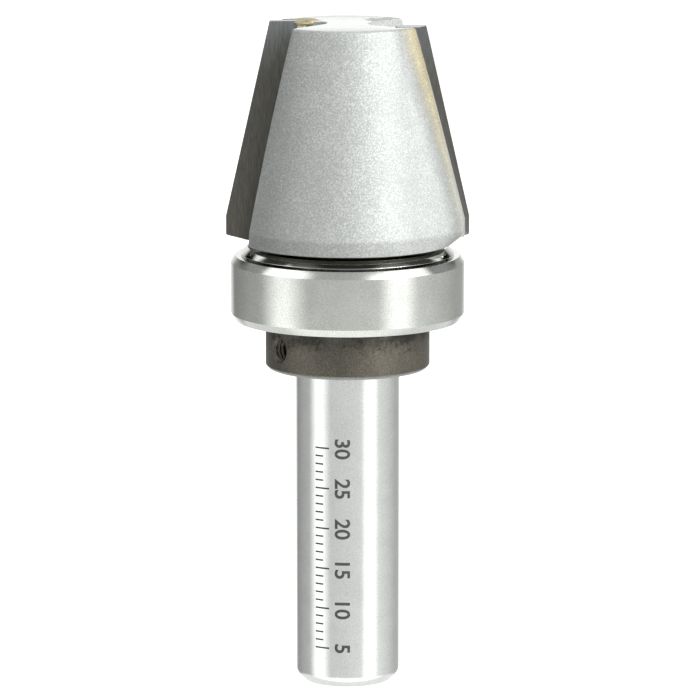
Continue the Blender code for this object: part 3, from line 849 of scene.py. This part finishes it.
def leaning(tree, flakes, finer, amount):
    """Each flake leans its own way, which gives the sparkle."""
    first, second = (vectors(tree, "SUBTRACT", part, (0.5, 0.5, 0.5))[0] for part in (flakes, finer))
    tilt = scaled(tree, vectors(tree, "ADD", first, second)[0], amount)
    surface = node(tree, "ShaderNodeNewGeometry").outputs["Normal"]
    return vectors(tree, "NORMALIZE", vectors(tree, "ADD", surface, tilt)[0])[0]


def turned_steel(name, tone, roughness, line_scale, line_depth, speckle=0.0):
    """Steel with the fine lines of turning or grinding round Z, in faint patches."""
    made, tree, shader = new_material(name)
    point = object_point(tree)
    lines = grain(tree, object_point(tree, (60, 60, line_scale)), 1.0, 3.0, 0.6)
    patches = wavering(tree, grain(tree, point, 420.0, 4.0), 0.93, 1.0)
    spots = wavering(tree, grain(tree, point, 7500.0), -speckle, 0.0)
    feed(
        tree, shader, Base_Color=scaled(tree, tone, plus(tree, patches, spots)), Metallic=1.0,
        Normal=bumped(tree, lines, line_depth),
        Roughness=wavering(tree, lines, roughness * 0.8, roughness * 1.2),
    )
    return made


def black_oxide(finishes, name, collar_box):
    """Blackened steel, with its black rubbed brown in places."""
    made, tree, shader = new_material(name)
    low, high = collar_box
    point = object_point(tree)
    place = split(tree, point)
    patches = grain(tree, point, 300.0, 4.0, 0.6)
    speckle = grain(tree, point, 6500.0, 1.0, 0.6)
    # The wear colour grows towards the right: the patches are real wear, their growth on the lit right side
    # is painted light.
    lit_side_share = ranged(tree, place["X"], -0.3 * high.x, high.x, 0.24, 0.28)
    worn = times(tree, ranged(tree, patches, 0.42, 0.62), lit_side_share)
    worn = plus(tree, worn, ranged(tree, speckle, 0.5, 0.68, 0.0, 0.5), clamp=True)
    tone = blended(tree, worn, rgba(finishes.black_oxide), rgba(finishes.oxide_wear))
    # Near its top, under the bearing, the collar is darker in ragged patches.
    torn = wavering(tree, grain(tree, point, 1500.0, 4.0, 0.7), -0.0012, 0.0012)
    under = ranged(tree, plus(tree, place["Z"], torn), high.z - 0.0028, high.z - 0.0012)
    deep = times(tree, under, ranged(tree, patches, 0.4, 0.55, 0.1, 0.95))
    tone = blended(tree, deep, tone, rgba(finishes.black_oxide, 0.35))
    # The lower bevel is painted lighter: partly the black rubbed off, partly a painted highlight along the
    # bevel.
    edge = ranged(tree, place["Z"], low.z + 0.00022, low.z + 0.0005, 0.55, 0.0)
    tone = blended(tree, edge, tone, rgba(finishes.pressed_steel))
    dots = ranged(tree, grain(tree, point, 7500.0), 0.35, 0.65, 0.74, 1.3)
    feed(
        tree, shader, Base_Color=scaled(tree, tone, dots), Metallic=0.75,
        Normal=bumped(tree, speckle, 0.00002, 0.35), Roughness=wavering(tree, patches, 0.34, 0.5),
    )
    return made


def carbide_finish(finishes, shape):
    """Ground carbide: fine slanting lines, an olive stain, and a top painted lighter and bluer as a painted
    reflection.
    """
    made, tree, shader = new_material("carbide")
    point = object_point(tree)
    height = split(tree, point)["Z"]
    lines = grain(tree, object_point(tree, (5500, 5500, 420)), 1.0, 2.0, 0.6)
    stain = grain(tree, point, 180.0, 4.0)
    # Painted reflection: towards the top the tips are painted lighter and bluer, in patches.
    near_top = ranged(tree, height, shape.top - 0.007, shape.top)
    painted_sheen = times(tree, near_top, ranged(tree, stain, 0.3, 0.6, 0.5, 1.0))
    tone = blended(tree, painted_sheen, rgba(finishes.carbide), rgba(finishes.carbide_tint))
    warm = times(tree, ranged(tree, stain, 0.5, 0.7, 0.0, 0.3), ranged(tree, painted_sheen, 0.0, 1.0, 1.0, 0.0))
    tone = blended(tree, warm, tone, rgba(finishes.oxide_wear))
    tone = scaled(tree, tone, wavering(tree, lines, 0.8, 1.2))
    # The tip's top is ground bright with the head's.
    top = ranged(tree, height, shape.top - 0.00004, shape.top - 0.00001)
    feed(
        tree, shader, Base_Color=blended(tree, top, tone, rgba(finishes.ground_steel)), Metallic=0.85,
        Normal=bumped(tree, lines, 0.000006),
        Roughness=ranged(tree, top, 0.0, 1.0, wavering(tree, lines, 0.34, 0.46), 0.15),
    )
    return made


def braze_finish(finishes):
    """Braze that has flowed and set, with a dull skin."""
    made, tree, shader = new_material("braze")
    point = object_point(tree)
    skin = grain(tree, point, 1600.0, 4.0, 0.6)
    tone = blended(tree, ranged(tree, skin, 0.35, 0.7), rgba(finishes.braze), rgba(finishes.braze, 0.55))
    # Towards the bit's axis a pool shows copper, and its rim is grey.
    level = vectors(tree, "MULTIPLY", point, (1, 1, 0))[0]
    out = plus(tree, vectors(tree, "LENGTH", level)["Value"], wavering(tree, skin, -0.0004, 0.0004))
    tone = blended(tree, ranged(tree, out, 0.0047, 0.0052, 0.75, 0.0), tone, rgba(finishes.braze_copper))
    tone = blended(tree, ranged(tree, out, 0.0039, 0.0044, 0.8, 0.0), tone, rgba(finishes.pressed_steel))
    feed(
        tree, shader, Base_Color=tone, Metallic=0.6, Normal=bumped(tree, skin, 0.00004),
        Roughness=wavering(tree, skin, 0.28, 0.5),
    )
    return made


def etched_finish(finishes):
    """The matt dark skin that a laser leaves on steel."""
    made, tree, shader = new_material("etched_marks")
    mottled = ranged(tree, grain(tree, object_point(tree), 9000.0), 0.35, 0.7)
    tone = blended(tree, mottled, rgba(finishes.etched), rgba(finishes.etched, 2.2))
    feed(tree, shader, Base_Color=tone, Metallic=0.3, Roughness=0.6)
    return made


# The graduations' node tree

def graduation_tree(finish):
    """A scale of marks wrapped round the shank, every few of them longer."""
    tree = bpy.data.node_groups.new("graduation marks", "GeometryNodeTree")
    panel = tree.interface
    panel.new_socket("Geometry", in_out="OUTPUT", socket_type="NodeSocketGeometry")
    panel.new_socket("Count", in_out="INPUT", socket_type="NodeSocketInt")
    panel.new_socket("Long every", in_out="INPUT", socket_type="NodeSocketInt")
    for name in ("Pitch", "Start", "Short mark", "Long mark", "Line width", "Raised", "Radius", "Angle"):
        panel.new_socket(name, in_out="INPUT", socket_type="NodeSocketFloat")
    given = tree.nodes.new("NodeGroupInput").outputs
    line = node(
        tree, "GeometryNodeMeshLine", {
            "Count": given["Count"], "Start Location": joined(tree, z=given["Start"]),
            "Offset": joined(tree, z=given["Pitch"]),
        }, mode="OFFSET",
    ).outputs[0]
    # A mark is a thin bar one long, which each point stretches to its own length.
    size = joined(tree, 1.0, plus(tree, given["Raised"], SUNK), given["Line width"])
    bar = node(tree, "GeometryNodeMeshCube", {"Size": size, "Vertices X": 10}).outputs[0]
    lift = maths(tree, "DIVIDE", minus(tree, given["Raised"], SUNK), 2.0)
    shift = joined(tree, 0.5, lift)
    bar = node(tree, "GeometryNodeTransform", {"Geometry": bar, "Translation": shift}).outputs[0]
    index = node(tree, "GeometryNodeInputIndex").outputs[0]
    is_long = maths(tree, "LESS_THAN", maths(tree, "MODULO", index, given["Long every"]), 0.5)
    reach = node(
        tree, "GeometryNodeSwitch",
        {"Switch": is_long, "False": given["Short mark"], "True": given["Long mark"]}, input_type="FLOAT",
    ).outputs[0]
    placed = node(
        tree, "GeometryNodeInstanceOnPoints",
        {"Points": line, "Instance": bar, "Scale": joined(tree, reach, 1.0, 1.0)},
    ).outputs[0]
    real = node(tree, "GeometryNodeRealizeInstances", {"Geometry": placed}).outputs[0]
    flat = split(tree, node(tree, "GeometryNodeInputPosition").outputs[0])
    turn = plus(tree, maths(tree, "DIVIDE", flat["X"], given["Radius"]), given["Angle"])
    out = plus(tree, flat["Y"], given["Radius"])
    x, y = (times(tree, out, maths(tree, part, turn)) for part in ("COSINE", "SINE"))
    wrapped = joined(tree, x, y, flat["Z"])
    moved_on = node(tree, "GeometryNodeSetPosition", {"Geometry": real, "Position": wrapped}).outputs[0]
    dressed = node(tree, "GeometryNodeSetMaterial", {"Geometry": moved_on, "Material": finish}).outputs[0]
    node(tree, "NodeGroupOutput", {0: dressed})
    return tree


def number_mesh(text, sizes, radius, turn, z):
    """A number as thin letters wrapped round the shank, reading along it."""
    size = sizes.number_size
    raised = sizes.raised
    letters = bpy.data.curves.new("number", "FONT")
    letters.body = text
    letters.size = size
    letters.align_x = "CENTER"
    letters.extrude = (raised + SUNK) / 2
    letters.offset = 0.02 * size  # makes the strokes a little bolder
    made = bpy.data.objects.new("number", letters)
    bpy.context.scene.collection.objects.link(made)
    graph = bpy.context.evaluated_depsgraph_get()
    mesh = bpy.data.meshes.new_from_object(made.evaluated_get(graph), depsgraph=graph)
    bpy.data.objects.remove(made, do_unlink=True)
    # Cuts across the letters let them follow the shank's curve.
    bm = bmesh.new()
    bm.from_mesh(mesh)
    for index in range(1, sizes.number_cuts):
        everything = bm.verts[:] + bm.edges[:] + bm.faces[:]
        spot = (0, size * index / sizes.number_cuts, 0)
        bmesh.ops.bisect_plane(bm, geom=everything, plane_co=spot, plane_no=(0, 1, 0))
    bm.to_mesh(mesh)
    bm.free()
    for vertex in mesh.vertices:
        along, up, proud = vertex.co
        out = radius + proud + (raised - SUNK) / 2
        place = turn + up / radius
        vertex.co = (out * math.cos(place), out * math.sin(place), z - along)
    mesh.flip_normals()
    return mesh


# Operators

def shown(made, body, slot, *replaced):
    """Sets what a finished piece rides on and which CAD nodes it stands for. Its slot is not used."""
    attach(made, body)
    if replaced:
        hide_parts(*replaced)
    return made


def node_finish(name, finish):
    """Gives a CAD node that stays in view its material."""
    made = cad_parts[name]
    made.data.materials.clear()
    made.data.materials.append(finish)


class ROUTERBIT_OT_head(bpy.types.Operator):
    """Builds the painted head, its neck and the ground shank as one body"""

    bl_idname = "router_bit.head"
    bl_label = "Head and shank"

    def execute(self, context):
        settings = context.scene.router_bit
        shape = HeadShape(settings)
        paint = silver_paint(settings.finishes, shape)
        ground = turned_steel("ground_shank", settings.finishes.ground_steel, 0.17, 9000, 0.000002, 0.17)
        # Painted shade: the underside and neck get a near-black steel for the dark gap over the washer.
        bare = turned_steel("shaded_underside", settings.finishes.bare_steel, 0.35, 3000, 0.000004, 0.03)
        body = new_piece("head_and_shank", body_mesh(shape, settings.shank), paint, ground, bare)
        shown(body, CUTTER, "head_and_shank", "cutter_body")
        return {"FINISHED"}


class ROUTERBIT_OT_tips(bpy.types.Operator):
    """Finishes the carbide tips and their braze, and adds the bead of braze beside each"""

    bl_idname = "router_bit.tips"
    bl_label = "Carbide tips"

    def execute(self, context):
        settings = context.scene.router_bit
        shape = HeadShape(settings)
        carbide = carbide_finish(settings.finishes, shape)
        braze = braze_finish(settings.finishes)
        for side, sign, share in (("right", 1, 0.6), ("left", -1, 1.0)):
            node_finish(f"carbide_tip_{side}", carbide)
            node_finish(f"braze_seam_{side}", braze)
            bm = lofted(bead_sections(shape, sign))
            add_pool(bm, shape, sign, share)
            bead = new_piece(f"braze_bead_{side}", bm, braze)
            shown(bead, CUTTER, "braze")
        return {"FINISHED"}


class ROUTERBIT_OT_bearing(bpy.types.Operator):
    """Builds the bearing's outer ring and shields and the washer, and finishes what they hide"""

    bl_idname = "router_bit.bearing"
    bl_label = "Guide bearing"

    def execute(self, context):
        settings = context.scene.router_bit
        finishes = settings.finishes
        ring_steel = turned_steel("ring_steel", finishes.ring_steel, 0.17, 6000, 0.000002, 0.26)
        polished = turned_steel("polished_washer", finishes.ring_steel, 0.1, 4000, 0.000001)
        pressed = turned_steel("pressed_steel", finishes.pressed_steel, 0.32, 2500, 0.000004)
        low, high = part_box("bearing_outer_ring")
        shank = settings.shank.diameter / 2
        pitch = (high.x + shank) / 2
        ball = (high.x - shank) * settings.bearing.ball_ratio / 2
        land = settings.bearing.land_ratio * ball
        radii = (pitch - land, pitch + land, pitch + land + settings.bearing.seat_ratio * ball)
        half = (high.z - low.z) / 2
        lift = Matrix.Translation((0, 0, (low.z + high.z) / 2))
        profile = self.ring_profile(settings, high.x, half, pitch + ball, ball, radii)
        ring = new_piece("bearing_ring", moved(turned(profile), lift), ring_steel)
        shown(ring, OUTER_RACE, "bearing_steel", "bearing_outer_ring")
        self.shields(settings, half, lift, radii, pressed)
        self.washer(settings, radii[0], polished)
        node_finish("bearing_inner_ring", ring_steel)
        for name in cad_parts:
            if name.startswith("bearing_ball"):
                node_finish(name, polished)
            elif name.startswith("cage_"):
                node_finish(name, pressed)
        return {"FINISHED"}

    def ring_profile(self, settings, outside, half, reach, ball, radii):
        """The ring's section about its middle: the balls' groove, the shields' seats and the bevels."""
        sizes = settings.bearing
        outer_land, shield_seat = radii[1:]
        seat = half - sizes.shield_recess - 2 * sizes.shield_sheet - settings.shank.fit
        upper = [Vector((outer_land, seat)), Vector((shield_seat, seat)), Vector((shield_seat, half))]
        bevel_top = Vector((outside - sizes.edge_depth, half))
        upper += rim_curve(bevel_top, Vector((outside, half - sizes.edge_height)))
        lower = [Vector((point.x, -point.y)) for point in reversed(upper)]
        groove_radius = sizes.groove_ratio * ball
        groove = reach + sizes.race_clearance - groove_radius
        turn = math.acos(min((outer_land - groove) / groove_radius, 1))
        return arc((groove, 0), groove_radius, -turn, turn, 3 * CURVE_STEPS) + upper + lower

    def shields(self, settings, half, lift, radii, pressed):
        sheet = settings.bearing.shield_sheet
        fit = settings.shank.fit
        inner_land, outer_land, shield_seat = radii
        outer = shield_seat - fit
        inner = inner_land + sheet
        bend = outer_land - sheet
        face = half - settings.bearing.shield_recess
        rim = face - 2 * sheet
        profile = [
            (outer, rim), (outer, rim + sheet), (bend + sheet, rim + sheet), (bend, face),
            (inner, face), (inner, face - sheet), (bend - sheet, face - sheet), (bend, rim),
        ]
        for name, sign in (("upper", 1), ("lower", -1)):
            curve = [(point.x, sign * point.y) for point in rounded_profile(profile, sheet / 3)]
            shield = new_piece(f"bearing_shield_{name}", moved(turned(curve), lift), pressed)
            shown(shield, OUTER_RACE, "pressed_steel", f"shield_{name}")

    def washer(self, settings, inner_land, polished):
        low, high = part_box("bearing_washer")
        bore = settings.shank.diameter / 2 + settings.shank.fit
        boss = inner_land - settings.shank.fit
        under = low.z + settings.bearing.washer_boss
        bevel = settings.bearing.washer_bevel
        profile = [
            (bore, low.z), (boss, low.z), (boss, under), (high.x, under), (high.x, high.z - bevel),
            (high.x - bevel, high.z), (bore, high.z),
        ]
        profile = rounded_profile(profile, settings.bearing.washer_round)
        washer = new_piece("washer", turned(profile), polished)
        shown(washer, CUTTER, "polished_washer", "bearing_washer")


def rim_curve(start, end):
    """A bevel with softly rounded corners, from a ring's face to its side."""
    before = start + Vector((-1, 0)) * (end - start).length
    after = end + Vector((0, -1)) * (end - start).length
    soft = 0.025 * (end - start).length
    return eased(before, start, end, soft, CURVE_STEPS) + eased(start, end, after, soft, CURVE_STEPS)


def moved(bm, place):
    bmesh.ops.transform(bm, matrix=place, verts=bm.verts)
    return bm


class ROUTERBIT_OT_collar(bpy.types.Operator):
    """Builds the lock collar with its threaded hole, and the set screw in it"""

    bl_idname = "router_bit.collar"
    bl_label = "Lock collar"

    def execute(self, context):
        settings = context.scene.router_bit
        sizes = settings.collar
        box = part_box("lock_collar")
        low, high = box
        bore = settings.shank.diameter / 2 + settings.shank.fit
        bevel = sizes.edge_bevel
        profile = [
            (bore + bevel, low.z), (high.x - bevel, low.z), (high.x, low.z + bevel), (high.x, high.z - bevel),
            (high.x - bevel, high.z), (bore + bevel, high.z), (bore, high.z - bevel), (bore, low.z + bevel),
        ]
        black = black_oxide(settings.finishes, "black_collar", box)
        collar = new_piece("collar", turned(rounded_profile(profile, sizes.edge_round)), black)
        place = screw_frame(box, sizes)
        crest = sizes.screw_diameter / 2
        rod = thread_mesh(crest, sizes.thread_depth, sizes.thread_pitch, bore / 2, high.x + bevel)
        rod = new_piece("thread_cutter", moved(rod, place), black)
        sink = sizes.countersink
        cone = [
            (0, high.x - 2 * sink), (crest - sink, high.x - 2 * sink), (crest + 2 * sink, high.x + sink),
            (0, high.x + sink),
        ]
        cone = new_piece("sink_cutter", moved(turned(cone, 64, closed=False), place), black)
        cut_away(collar, rod, cone)
        shown(collar, CUTTER, "black_collar", "lock_collar")
        self.screw(settings, box, place, bore)
        return {"FINISHED"}

    def screw(self, settings, box, place, bore):
        sizes = settings.collar
        start = bore + settings.shank.fit
        end = start + sizes.screw_length
        crest = sizes.screw_diameter / 2 - sizes.screw_fit
        black = black_oxide(settings.finishes, "black_screw", box)
        rod = thread_mesh(crest, sizes.thread_depth, sizes.thread_pitch, start, end)
        screw = new_piece("socket_screw", moved(rod, place), black)
        across = sizes.screw_socket / math.cos(math.radians(30)) / 2
        socket = bmesh.new()
        bmesh.ops.create_cone(
            socket, cap_ends=True, segments=6, radius1=across, radius2=across, depth=sizes.screw_length,
            matrix=Matrix.Translation((0, 0, end)),
        )
        cut_away(screw, new_piece("socket_cutter", moved(socket, place), black))
        shown(screw, CUTTER, "black_screw", "set_screw")


class ROUTERBIT_OT_graduations(bpy.types.Operator):
    """Etches a plain scale in the shank, which shows how deep the collet holds it"""

    bl_idname = "router_bit.graduations"
    bl_label = "Graduations"

    def execute(self, context):
        settings = context.scene.router_bit
        sizes = settings.graduations
        radius = settings.shank.diameter / 2
        etched = etched_finish(settings.finishes)
        marks = new_piece("scale_marks", bmesh.new())
        modifier = marks.modifiers.new("marks", "NODES")
        modifier.node_group = graduation_tree(etched)
        values = {
            "Count": sizes.count, "Long every": sizes.numbered, "Pitch": sizes.pitch, "Start": sizes.start,
            "Short mark": sizes.short_mark, "Long mark": sizes.long_mark, "Line width": sizes.line_width,
            "Raised": sizes.raised, "Radius": radius, "Angle": sizes.angle,
        }
        for item in modifier.node_group.interface.items_tree:
            if item.in_out == "INPUT":
                modifier[item.identifier] = values[item.name]
        shown(finished(marks), CUTTER, "head_and_shank")
        bm = bmesh.new()
        turn = sizes.angle + (sizes.long_mark + 0.3 * sizes.number_size) / radius
        for index in range(0, sizes.count, sizes.numbered):
            z = sizes.start + index * sizes.pitch
            bm.from_mesh(number_mesh(str(round(z * 1000)), sizes, radius, turn, z))
        numbers = new_piece("scale_numbers", bm, etched)
        shown(numbers, CUTTER, "head_and_shank")
        return {"FINISHED"}


class ROUTERBIT_OT_stage(bpy.types.Operator):
    """Sets up the camera, the pale floor, the tent round it and the lamps"""

    bl_idname = "router_bit.stage"
    bl_label = "Stage"
    LIT_SPOT = Vector((0, 0, 0.05))  # where the lamps point

    def execute(self, context):
        stage = context.scene.router_bit.stage
        scene = context.scene
        scene.view_settings.view_transform = "Standard"
        self.camera(scene, stage)
        self.floor(scene, stage)
        self.world(scene, stage)
        self.lamp(scene, "key", stage.key_power, 0.5, (0.63, -0.52, 0.43), True)
        self.lamp(scene, "fill", stage.fill_power, 0.5, (-0.5, 0.68, 0.35), False)
        self.lamp(scene, "top", stage.top_power, 0.6, (0.1, 0.1, 0.9), False)
        return {"FINISHED"}

    def camera(self, scene, stage):
        data = bpy.data.cameras.new("camera")
        data.lens = stage.lens
        data.clip_start = 0.01
        made = bpy.data.objects.new("camera", data)
        made.location = (stage.camera_side, -stage.camera_distance, stage.camera_height)
        made.rotation_euler = (math.pi / 2 - stage.camera_tilt, 0, 0)
        scene.collection.objects.link(made)
        scene.camera = made

    def floor(self, scene, stage):
        bm = bmesh.new()
        bmesh.ops.create_grid(bm, x_segments=1, y_segments=1, size=6)
        mesh = bpy.data.meshes.new("floor")
        bm.to_mesh(mesh)
        bm.free()
        made = bpy.data.objects.new("floor", mesh)
        scene.collection.objects.link(made)
        finish, tree, shader = new_material("floor")
        feed(tree, shader, Base_Color=grey(0.8), Roughness=0.9, Specular_IOR_Level=0.0)
        white = node(tree, "ShaderNodeEmission", {"Color": grey(1), "Strength": stage.floor_glow})
        both = node(tree, "ShaderNodeAddShader", {0: shader.outputs[0], 1: white.outputs[0]})
        clear = node(tree, "ShaderNodeBsdfTransparent")
        # Metal mirrors the tent alone, above the floor's level and below it.
        final = by_ray(tree, shader.outputs[0], both.outputs[0], clear.outputs[0])
        tree.links.new(final, tree.nodes["Material Output"].inputs["Surface"])
        mesh.materials.append(finish)

    def world(self, scene, stage):
        world = bpy.data.worlds.new("tent")
        world.use_nodes = True
        scene.world = world
        tree = world.node_tree
        tree.nodes.clear()
        direction = node(tree, "ShaderNodeTexCoord").outputs["Object"]
        soft, white, tent = (
            node(tree, "ShaderNodeBackground", {"Color": tone, "Strength": strength}).outputs[0]
            for tone, strength in (
                (grey(1), stage.soft_light), (grey(1), 1.0), (tent_tone(tree, direction), 1.0),
            )
        )
        node(tree, "ShaderNodeOutputWorld", {"Surface": by_ray(tree, soft, white, tent)})

    def lamp(self, scene, name, watts, size, place, mirrored):
        data = bpy.data.lights.new(name, "AREA")
        data.energy = watts
        data.size = size
        made = bpy.data.objects.new(name, data)
        made.location = place
        made.rotation_euler = (self.LIT_SPOT - made.location).to_track_quat("-Z", "Y").to_euler()
        made.visible_glossy = mirrored
        scene.collection.objects.link(made)


def by_ray(tree, plain, seen, mirrored):
    """One shader for light, one for the camera and what is seen through glass, and one for reflections."""
    path = node(tree, "ShaderNodeLightPath").outputs
    direct = maths(tree, "MAXIMUM", path["Is Camera Ray"], path["Is Transmission Ray"])
    shader = node(tree, "ShaderNodeMixShader", {0: direct, 1: plain, 2: seen}).outputs[0]
    return node(tree, "ShaderNodeMixShader", {0: path["Is Glossy Ray"], 1: shader, 2: mirrored}).outputs[0]


TENT_BACK = 0.97
TENT_TONES = (  # degrees from the front, to the right, and the tent's tone there
    (-162, 0.9), (-150, 0.27), (-118, 0.41), (-40, 0.62), (0, 0.69), (75, 0.79), (100, 0.66), (132, 0.46),
    (155, 0.45), (166, 0.9),
)
TENT_STRIPS = (  # middle, its shift aloft, half width without and with the soft edge, more aloft, tone
    (-67, -14, 6, 27, 14, 0.80), (52, 12, 7, 21, 23, 0.76),
)


def tent_tone(tree, direction):
    """What metal mirrors: a grey tent, paler behind and at its foot, with a bright strip on either side."""
    place = split(tree, direction)
    height = place["Z"]
    bearing = maths(tree, "DEGREES", maths(tree, "ARCTAN2", place["X"], times(tree, place["Y"], -1.0)))
    turned_off = maths(tree, "ABSOLUTE", bearing)
    ramp = node(tree, "ShaderNodeValToRGB", {"Fac": ranged(tree, bearing, -180, 180)})
    stops = ramp.color_ramp.elements
    for stop in stops:
        stop.color = grey(TENT_BACK)
    for degrees, tone in TENT_TONES:
        stops.new(degrees / 360 + 0.5).color = grey(tone)
    # Higher up the tent is open and dark, with the strips further round.
    aloft = ranged(tree, height, 0.2, 0.45)
    open_sides = times(tree, aloft, ranged(tree, turned_off, 60, 105, 0.2, 0.92))
    tone = times(tree, ramp.outputs["Color"], minus(tree, 1.0, open_sides))
    ends = times(
        tree, ranged(tree, height, 0.77, 0.83, 1.0, 0.0), ranged(tree, turned_off, 100, 105, 1.0, 0.0)
    )
    for middle, shift, inner, outer, wider, strength in TENT_STRIPS:
        off = minus(tree, bearing, plus(tree, times(tree, aloft, shift), middle))
        off = minus(tree, maths(tree, "ABSOLUTE", off), times(tree, aloft, wider))
        strip = times(tree, ranged(tree, off, inner, outer, strength, 0.0), ends)
        tone = plus(tree, tone, times(tree, strip, plus(tree, aloft, 1.0)))
    overhead = ranged(tree, height, 0.86, 0.95, 1.0, 0.04)
    # Behind, a panel hangs high with a dark gap under it, and the tent's foot is open to the light.
    gap = times(tree, window(tree, turned_off, (135, 140), (153, 158)), ranged(tree, height, 0.22, 0.28))
    tone = times(tree, times(tree, tone, overhead), minus(tree, 1.0, gap))
    wing_height = window(tree, height, (0.28, 0.34), (0.54, 0.6))
    for part in (
        times(tree, ranged(tree, turned_off, 129, 134), window(tree, height, (0.42, 0.48), (0.58, 0.64))),
        times(tree, ranged(tree, turned_off, 130, 140), ranged(tree, height, 0.6, 0.75, 0.0, 0.6)),
        times(tree, ranged(tree, turned_off, 166, 174), window(tree, height, (0.06, 0.1), (0.2, 0.3), 1.25)),
        times(tree, window(tree, turned_off, (98, 108), (128, 136), 0.34), wing_height),
    ):
        tone = maths(tree, "MAXIMUM", tone, part)
    tone = times(tree, tone, ranged(tree, height, -0.24, -0.16, 1.1, 1.0))
    underfoot = ranged(tree, place["Y"], -0.1, 0.1, 1.26, 0.92)
    return blended(tree, ranged(tree, height, -0.5, -0.4, 1.0, 0.0), tone, underfoot)


class ROUTERBIT_PT_panel(bpy.types.Panel):
    """Lists the operators"""

    bl_label = "Router bit"
    bl_idname = "ROUTERBIT_PT_panel"
    bl_space_type = "VIEW_3D"
    bl_region_type = "UI"
    bl_category = "Router bit"

    def draw(self, context):
        for operator in OPERATORS:
            self.layout.operator(operator.bl_idname)


GROUPS = (
    HeadSizes, FluteSizes, ShankSizes, BearingSizes, CollarSizes, GraduationSizes, Finishes, StageSettings,
    RouterBitSettings,
)
OPERATORS = (
    ROUTERBIT_OT_head, ROUTERBIT_OT_tips, ROUTERBIT_OT_bearing, ROUTERBIT_OT_collar, ROUTERBIT_OT_graduations,
    ROUTERBIT_OT_stage,
)


def register():
    for kind in GROUPS + OPERATORS + (ROUTERBIT_PT_panel,):
        bpy.utils.register_class(kind)
    bpy.types.Scene.router_bit = PointerProperty(type=RouterBitSettings)


def unregister():
    del bpy.types.Scene.router_bit
    for kind in reversed(GROUPS + OPERATORS + (ROUTERBIT_PT_panel,)):
        bpy.utils.unregister_class(kind)


def main():
    register()
    bpy.ops.router_bit.head()
    bpy.ops.router_bit.tips()
    bpy.ops.router_bit.bearing()
    bpy.ops.router_bit.collar()
    bpy.ops.router_bit.graduations()
    bpy.ops.router_bit.stage()


if __name__ == "__main__":
    main()
